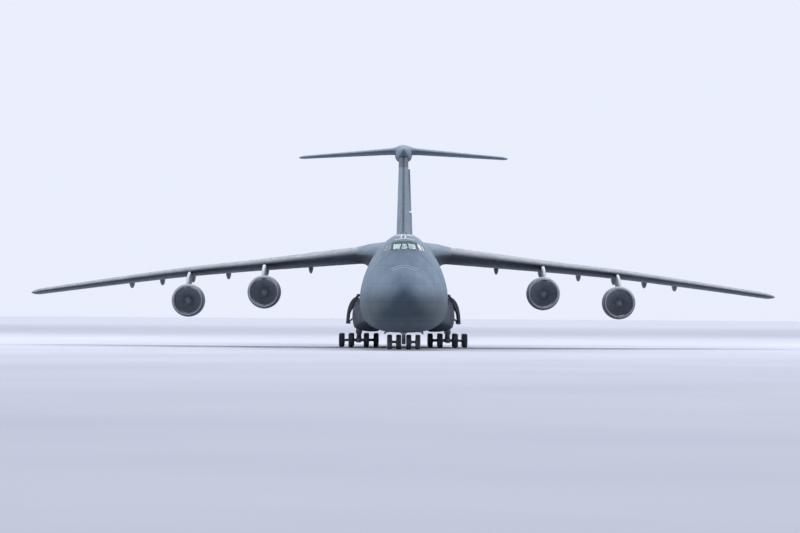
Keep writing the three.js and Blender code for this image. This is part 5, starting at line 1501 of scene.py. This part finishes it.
for x in np.linspace(-0.4, 0.4, 9):
    for s in np.linspace(7.5, 8.2, 6):
        parts.append(disc("switch", (float(x), float(s), 8.92), "z", 0.014, 0.02, "steel", 6))
done(joined("flight_deck_fit", parts), BODY, "cabin", "flight_deck")

# ---------------------------------------------------- panes, marks and fittings
from mathutils.bvhtree import BVHTree


def tree_of(o):
    dg = bpy.context.evaluated_depsgraph_get()
    return BVHTree.FromObject(o, dg)


def cast(tree, p, d):
    hit = tree.ray_cast(Vector(p), Vector(d))
    return (hit[0], hit[1]) if hit[0] is not None else None


def decal(name, tree, grid, direction, lift, thick, mat):
    """Thin plate lying on a skin: grid rows of start points are cast along a direction."""
    rows = []
    for row in grid:
        r = []
        for p in row:
            h = cast(tree, p, direction)
            if h is None:
                r.append(None)
                continue
            q, n = h
            if n.dot(Vector(direction)) > 0:
                n = -n
            r.append((q + n * lift * HALF, q + n * (lift - thick) * HALF))
        rows.append(r)
    verts, faces, idx = [], [], {}
    for i, r in enumerate(rows):
        for k, v in enumerate(r):
            if v is not None:
                idx[i, k] = len(verts)
                verts += [v[0], v[1]]
    cells = set()
    for i in range(len(rows) - 1):
        for k in range(len(rows[0]) - 1):
            if all((i + a, k + b) in idx for a, b in ((0, 0), (0, 1), (1, 0), (1, 1))):
                cells.add((i, k))
    for i, k in cells:
        a, b, c, d = idx[i, k], idx[i, k + 1], idx[i + 1, k + 1], idx[i + 1, k]
        faces += [(a, b, c, d), (d + 1, c + 1, b + 1, a + 1)]
        for (di, dk), (u, v) in (((-1, 0), (a, b)), ((0, 1), (b, c)), ((1, 0), (c, d)), ((0, -1), (d, a))):
            if (i + di, k + dk) not in cells:
                faces.append((u, u + 1, v + 1, v))
    return make(name, verts, faces, mat, angle=40)


ahead = lambda x, z: P(x, -4, z)
visor_tree, skin_tree = tree_of(visor), tree_of(skin)

# two thin pale arcs over the nose
marks = []
for z0, half_w, w in ((6.865, 1.2, 0.03), (6.675, 0.98, 0.03)):
    grid = []
    for k in range(49):
        x = -half_w + 2 * half_w * k / 48
        z = z0 - 0.33 * max(abs(x) - 0.22, 0) ** 1.25
        grid.append([ahead(x, z - w), ahead(x, z), ahead(x, z + w)])
    marks.append(decal("arc", visor_tree, grid, (0, 1, 0), 0.012, 0.03, "arc"))
done(joined("nose_arcs", marks), "visor", "grey_paint")

# fuelling receptacle behind the windscreen: a dark slipway between two pale guide arcs
roof = []


def ahead_patch(x0, x1, low, high, n, mat, lift=0.012):
    """Plate between two heights (functions of x), cast from ahead."""
    grid = []
    for x in np.linspace(x0, x1, n):
        a_, b_ = low(float(x)), high(float(x))
        grid.append([ahead(float(x), a_ + (b_ - a_) * i / 4) for i in range(5)])
    return decal("mark", skin_tree, grid, (0, 1, 0), lift, lift + 0.018, mat)


bow = lambda z, d: (lambda x: z - d * (x / 0.95) ** 2)
for z0, z1, d, half_w in ((9.14, 9.19, 0.2, 0.8), (9.475, 9.53, 0.2, 0.7)):
    roof.append(ahead_patch(-half_w, half_w, bow(z0, d), bow(z1, d), 33, "white"))
for x0, x1, z0, z1, mat in ((-0.7, -0.34, 9.24, 9.41, "seam"), (-0.18, -0.03, 9.22, 9.45, "gap"), (0.2, 0.68, 9.23, 9.4, "seam"), (-0.3, -0.22, 9.23, 9.45, "white"), (0.02, 0.12, 9.22, 9.45, "white")):
    roof.append(ahead_patch(x0, x1, bow(z0, 0.16), bow(z1, 0.16), 7, mat))
down = lambda x, s: P(x, s, 13)
for x0, x1, s0, s1, mat in ((-0.16, 0.16, 9.0, 10.3, "dark"), (-0.24, -0.2, 8.9, 10.5, "white"), (0.2, 0.24, 8.9, 10.5, "white"), (-0.24, 0.24, 10.46, 10.52, "white")):
    grid = [[down(x, s) for s in np.linspace(s0, s1, 7)] for x in np.linspace(x0, x1, 5)]
    roof.append(decal("mark", skin_tree, grid, (0, 0, -1), 0.012, 0.03, mat))
done(joined("roof_marks", roof), BODY, "grey_paint")

# windscreen: dark surround, panes flush with it, wipers
surround = csg(
    hull_body("surround", 5.6, 8.4, 0.012, 144, 0.25, "frame"),
    ("-", hull_body("cut", 5.4, 8.6, -0.01, 144, 0.25)),
    ("-", all_windows(-0.005)),
)
front = prism("cut", [(-1.12, 8.16), (1.12, 8.16), (1.02, 8.86), (0.5, 8.97), (-0.5, 8.97), (-1.02, 8.86)], "s", 5.0, 7.25)
csg(surround, ("&", front), ("&", break_side("cut", False, 0.012)))
shade(surround, 30)
done(surround, BODY, "grey_paint")
# thin frames round the side panes
side_frames = csg(
    hull_body("side_pane_frames", 5.6, 8.4, 0.01, 144, 0.25, "plain"),
    ("-", hull_body("cut", 5.4, 8.6, -0.01, 144, 0.25)),
    ("&", csg(prism("cut", [(6.14, 8.14), (7.26, 8.1), (7.94, 8.66), (6.92, 8.76)], "x", 1.14, 3), ("+", prism("cut", [(6.14, 8.14), (7.26, 8.1), (7.94, 8.66), (6.92, 8.76)], "x", -3, -1.14)))),
    ("-", all_windows(-0.005)),
    ("&", break_side("cut", False, 0.012)),
)
shade(side_frames, 30)
done(side_frames, BODY, "grey_paint")

panes = csg(
    hull_body("panes", 5.6, 8.4, -0.008, 144, 0.25, "glass"),
    ("-", hull_body("cut", 5.4, 8.6, -0.05, 144, 0.25, "glass")),
)
holes = all_windows(-0.012, "glass")
whole = holes[0]
for h in holes[1:]:
    csg(whole, ("+", h))
csg(panes, ("&", whole))
shade(panes, 30)
panes.data.materials.clear()
panes.data.materials.append(MAT["glass"])
panes.data.polygons.foreach_set("material_index", np.zeros(len(panes.data.polygons), np.int32))
done(panes, BODY, "glass", "windshield")

# pale and dark sun screens behind some panes, shaped and toned after the sky's reflection in the glass: painted
# reflection
inner_tree = tree_of(panes)


def screen(kind, points, side=1, mat="shade"):
    """Thin plate a little behind the glass; points are (x, z) from ahead or (s, z) from the side."""
    (a, b, c, d) = points
    grid = []
    for i in range(9):
        u = i / 8
        lo_, hi_ = (a[0] + (b[0] - a[0]) * u, a[1] + (b[1] - a[1]) * u), (d[0] + (c[0] - d[0]) * u, d[1] + (c[1] - d[1]) * u)
        row = []
        for j in range(6):
            v = j / 5
            p = (lo_[0] + (hi_[0] - lo_[0]) * v, lo_[1] + (hi_[1] - lo_[1]) * v)
            row.append(ahead(*p) if kind == "f" else P(side * 6, *p))
        grid.append(row)
    return decal("screen", inner_tree, grid, (0, 1, 0) if kind == "f" else (-side, 0, 0), -0.075, 0.012, mat)


screens = [
    screen("f", [(-0.26, 8.28), (0.26, 8.28), (0.14, 8.74), (-0.14, 8.74)]),
    screen("f", [(-0.92, 8.28), (-0.42, 8.28), (-0.36, 8.62), (-0.84, 8.5)]),
    screen("f", [(0.5, 8.27), (0.99, 8.26), (0.93, 8.5), (0.66, 8.36)]),
    screen("f", [(0.3, 8.4), (0.64, 8.38), (0.9, 8.54), (0.86, 8.68)], mat="reflection_dark"),
    screen("s", [(6.36, 8.21), (6.6, 8.2), (7.24, 8.66), (7.02, 8.67)], 1),
    screen("s", [(6.36, 8.21), (6.6, 8.2), (7.24, 8.66), (7.02, 8.67)], -1, "plain"),
    screen("s", [(6.84, 8.2), (7.16, 8.18), (7.72, 8.6), (7.44, 8.63)], -1, "plain"),
]
done(joined("sun_screens_reflection", [o for o in screens if len(o.data.vertices)]), BODY, "cabin")

fit = []
for sx in (-1, 1):
    for x0, z0, x1, z1 in ((0.62, 8.2, 0.44, 8.5),):
        a, b = cast(skin_tree, ahead(sx * x0, z0), (0, 1, 0)), cast(skin_tree, ahead(sx * x1, z1), (0, 1, 0))
        if a and b:
            q = a[0] + (b[0] - a[0]) * 1.0
            fit.append(tube("wiper", [a[0] + a[1] * 0.02, q + Vector((0, -0.03, 0.02))], 0.018, "dark", 8))
    # small flush vanes of the air data system, close to the skin
    for s, z in ((9.9, 5.3), (9.9, 4.7), (10.8, 5.0)):
        x = hull_x(s, z)
        fit.append(tube("probe", [P(sx * (x - 0.01), s, z), P(sx * (x + 0.05), s - 0.04, z), P(sx * (x + 0.05), s - 0.3, z)], [0.03, 0.022, 0.012], "steel", 8))
# blades, dome and lamps along the back and the belly
def blade(s, h, c, top=True, x=0.0, rake=0.35):
    base = (hull_at(s)[1] + hull_at(s)[2] * 0.985) if top else (hull_at(s)[1] - hull_at(s)[3] * 0.999)
    d = 1 if top else -1
    rings = []
    for f in (0, 0.5, 1.0):
        cc, off = c * (1 - 0.45 * f), rake * c * f
        z = base - d * 0.06 + d * (h + 0.06) * f
        rings.append([P(x + t * cc * 0.08 * HALF * 2, s + off + u * cc, z) for u, t in ((0, 0), (0.2, 1), (0.6, 0.9), (1, 0), (0.6, -0.9), (0.2, -1))])
    return ring_loft("blade", rings, "plain", angle=40)


for s, h, c in ((14.0, 0.42, 0.4), (17.2, 0.34, 0.34), (39.5, 0.42, 0.4), (45.0, 0.34, 0.34), (52.0, 0.38, 0.36)):
    fit.append(blade(s, h, c))
for s, h, c in ((13.2, 0.3, 0.36), (16.5, 0.26, 0.3), (21.0, 0.3, 0.36), (44.5, 0.28, 0.34)):
    fit.append(blade(s, h, c, False))
fit.append(turned("dome", [(9.66, 0), (9.66, 0.4), (9.76, 0.42), (9.86, 0.39), (9.95, 0.27), (9.985, 0.12), (9.99, 0)], (0, 19.4, 0), "z", 36, "cap"))
for s, z in ((25.6, 9.77),):
    fit.append(turned("beacon", [(z - 0.05, 0), (z - 0.05, 0.12), (z + 0.02, 0.12), (z + 0.12, 0.09), (z + 0.15, 0.03), (z + 0.155, 0)], (0, s, 0), "z", 20, "lens"))
fit.append(turned("beacon", [(1.26, 0), (1.265, 0.05), (1.3, 0.1), (1.36, 0.12), (1.46, 0.12), (1.46, 0)], (0, 26.0, 0), "z", 20, "lens"))
done(joined("antennas", fit), BODY, "grey_paint")

# raised outlines: doors, hatches and the aft side exits
outlines = []


def side_frame(s0, s1, z0, z1, w=0.045, mat="gap", sides_=(-1, 1), r=0.14):
    """Ribbon round a side door, laid on the hull."""
    out = []
    corner = lambda cs, cz, a0: [(cs + r * math.cos(a), cz + r * math.sin(a)) for a in np.linspace(a0, a0 + math.pi / 2, 5)]
    pts = corner(s1 - r, z1 - r, 0) + corner(s0 + r, z1 - r, math.pi / 2) + corner(s0 + r, z0 + r, math.pi) + corner(s1 - r, z0 + r, 1.5 * math.pi)
    pts.append(pts[0])
    dense = []
    for a, b in zip(pts, pts[1:]):
        n = max(1, int(math.dist(a, b) / 0.25))
        dense += [(a[0] + (b[0] - a[0]) * i / n, a[1] + (b[1] - a[1]) * i / n) for i in range(n)]
    dense.append(dense[0])
    cs, cz = (s0 + s1) / 2, (z0 + z1) / 2
    for sx in sides_:
        grid = []
        for s, z in dense:
            l = math.hypot(s - cs, z - cz)
            k = (l - w) / l
            grid.append([P(sx * 8, s, z), P(sx * 8, cs + (s - cs) * k, cz + (z - cz) * k)])
        out.append(decal("outline", skin_tree, grid, (-sx, 0, 0), 0.006, 0.02, mat))
    return out


outlines += side_frame(12.93, 14.17, 2.55, 4.57, sides_=(1,), mat="plain")
outlines += side_frame(44.2, 45.3, 3.3, 5.3)
outlines += side_frame(40.6, 41.5, 7.75, 8.85, r=0.1)
outlines += side_frame(48.5, 49.4, 7.8, 8.85, r=0.1)
outlines += side_frame(20.2, 21.0, 7.8, 8.8, r=0.1)
outlines += side_frame(10.2, 10.9, 7.55, 8.5, r=0.1)
for s in (37.4, 38.8, 43.0, 44.4, 45.8, 47.2, 51.0, 52.4, 53.8):  # small round ports of the rear upper deck
    for sx in (-1, 1):
        h = cast(skin_tree, P(sx * 8, s, 8.35), (-sx, 0, 0))
        if h:
            q, nrm = h
            rot = nrm.to_track_quat("Z", "Y")
            for r0, r1, lift, mat in ((0.0, 0.13, 0.012, "glass"), (0.13, 0.17, 0.02, "plain")):
                ring = []
                n = 20
                verts = []
                for a in range(n):
                    c = Vector((math.cos(2 * math.pi * a / n), math.sin(2 * math.pi * a / n), 0))
                    for rr, zz in ((r1, -0.02), (r1, lift), (r0, lift), (r0, -0.02)) if r0 else ((r1, -0.02), (r1, lift)):
                        verts.append(q + rot @ (c * rr * HALF + Vector((0, 0, zz * HALF))))
                m_ = 4 if r0 else 2
                faces = [(a * m_ + k, ((a + 1) % n) * m_ + k, ((a + 1) % n) * m_ + (k + 1) % m_, a * m_ + (k + 1) % m_) for a in range(n) for k in range(m_ if r0 else 1)]
                if not r0:
                    faces += [tuple(a * 2 + 1 for a in range(n)), tuple(a * 2 for a in range(n))]
                outlines.append(make("port", verts, faces, mat, angle=30))
done(joined("hull_outlines", outlines), BODY, "grey_paint")

# ---------------------------------------------------------------- stage, light
floor_mat, ft, fb = nodes_of("floor")
fg = Net(ft)
fo = fg.n("ShaderNodeTexCoord").outputs["Object"]
near_ = fg.ramp(fg.noise(fo, 0.08, 4.0, 0.5), [(0.3, (0.315, 0.330, 0.390)), (0.7, (0.350, 0.365, 0.425))])
# far behind the tail the floor pales into the surround
far_ = fg.n("ShaderNodeMapRange", {"Value": fg.n("ShaderNodeSeparateXYZ", {0: fo}).outputs[1], "From Min": -200.0, "From Max": 50.0, "To Min": 0.0, "To Max": 1.0}).outputs[0]
ft.links.new(fg.mix(far_, near_, (0.49, 0.515, 0.58)), fb.inputs["Base Color"])
fb.inputs["Roughness"].default_value = 0.9
fb.inputs["Specular IOR Level"].default_value = 0.05
bpy.ops.mesh.primitive_plane_add(size=2400, location=(0, 300, 0))
floor = bpy.context.object
floor.name = "floor"
floor.data.materials.append(floor_mat)

world = bpy.data.worlds.new("world")
bpy.context.scene.world = world
world.use_nodes = True
# a pale surround, dimmer ahead of the nose as behind a grey studio screen
wg = Net(world.node_tree)
ahead_ = wg.math("MULTIPLY", wg.n("ShaderNodeSeparateXYZ", {0: wg.n("ShaderNodeTexCoord").outputs["Generated"]}).outputs[1], -1.0)
background = world.node_tree.nodes["Background"]
world.node_tree.links.new(wg.ramp(ahead_, [(0.38, (0.80, 0.835, 0.95)), (0.62, (0.25, 0.265, 0.31))]), background.inputs["Color"])
background.inputs["Strength"].default_value = 1.03


def area(name, loc, size, power, target=(0, 0, 3)):
    light = bpy.data.lights.new(name, "AREA")
    light.shape = "DISK"
    light.size = size
    light.energy = power
    o = bpy.data.objects.new(name, light)
    bpy.context.collection.objects.link(o)
    o.location = loc
    o.rotation_mode = "QUATERNION"
    o.rotation_quaternion = (Vector(target) - Vector(loc)).to_track_quat("-Z", "Y")
    return o


sun = bpy.data.lights.new("key", "SUN")
sun.energy = 2.75
sun.angle = math.radians(60)
key = bpy.data.objects.new("key", sun)
bpy.context.collection.objects.link(key)
key.location = (10, 68, 79)
key.rotation_mode = "QUATERNION"
key.rotation_quaternion = Vector((-10, -68, -79)).to_track_quat("-Z", "Y")
area("fill_starboard", (-90, 30, 60), 60, 112000)
area("fill_port", (90, 30, 60), 60, 100000)

cam = bpy.data.cameras.new("camera")
cam.lens, cam.sensor_width = 159.0, 36.0
cam.clip_end = 3000
camera = bpy.data.objects.new("camera", cam)
bpy.context.collection.objects.link(camera)
camera.location = (-0.343, -18.83 - 141.5, 1.4)
PITCH, YAW, ROLL = 0.80, -0.066, 0.36
camera.rotation_mode = "XYZ"
camera.rotation_euler = (Matrix.Rotation(math.radians(YAW), 3, "Z") @ Matrix.Rotation(math.radians(90 + PITCH), 3, "X") @ Matrix.Rotation(math.radians(ROLL), 3, "Z")).to_euler()
bpy.context.scene.camera = camera
bpy.context.scene.view_settings.view_transform = "Standard"
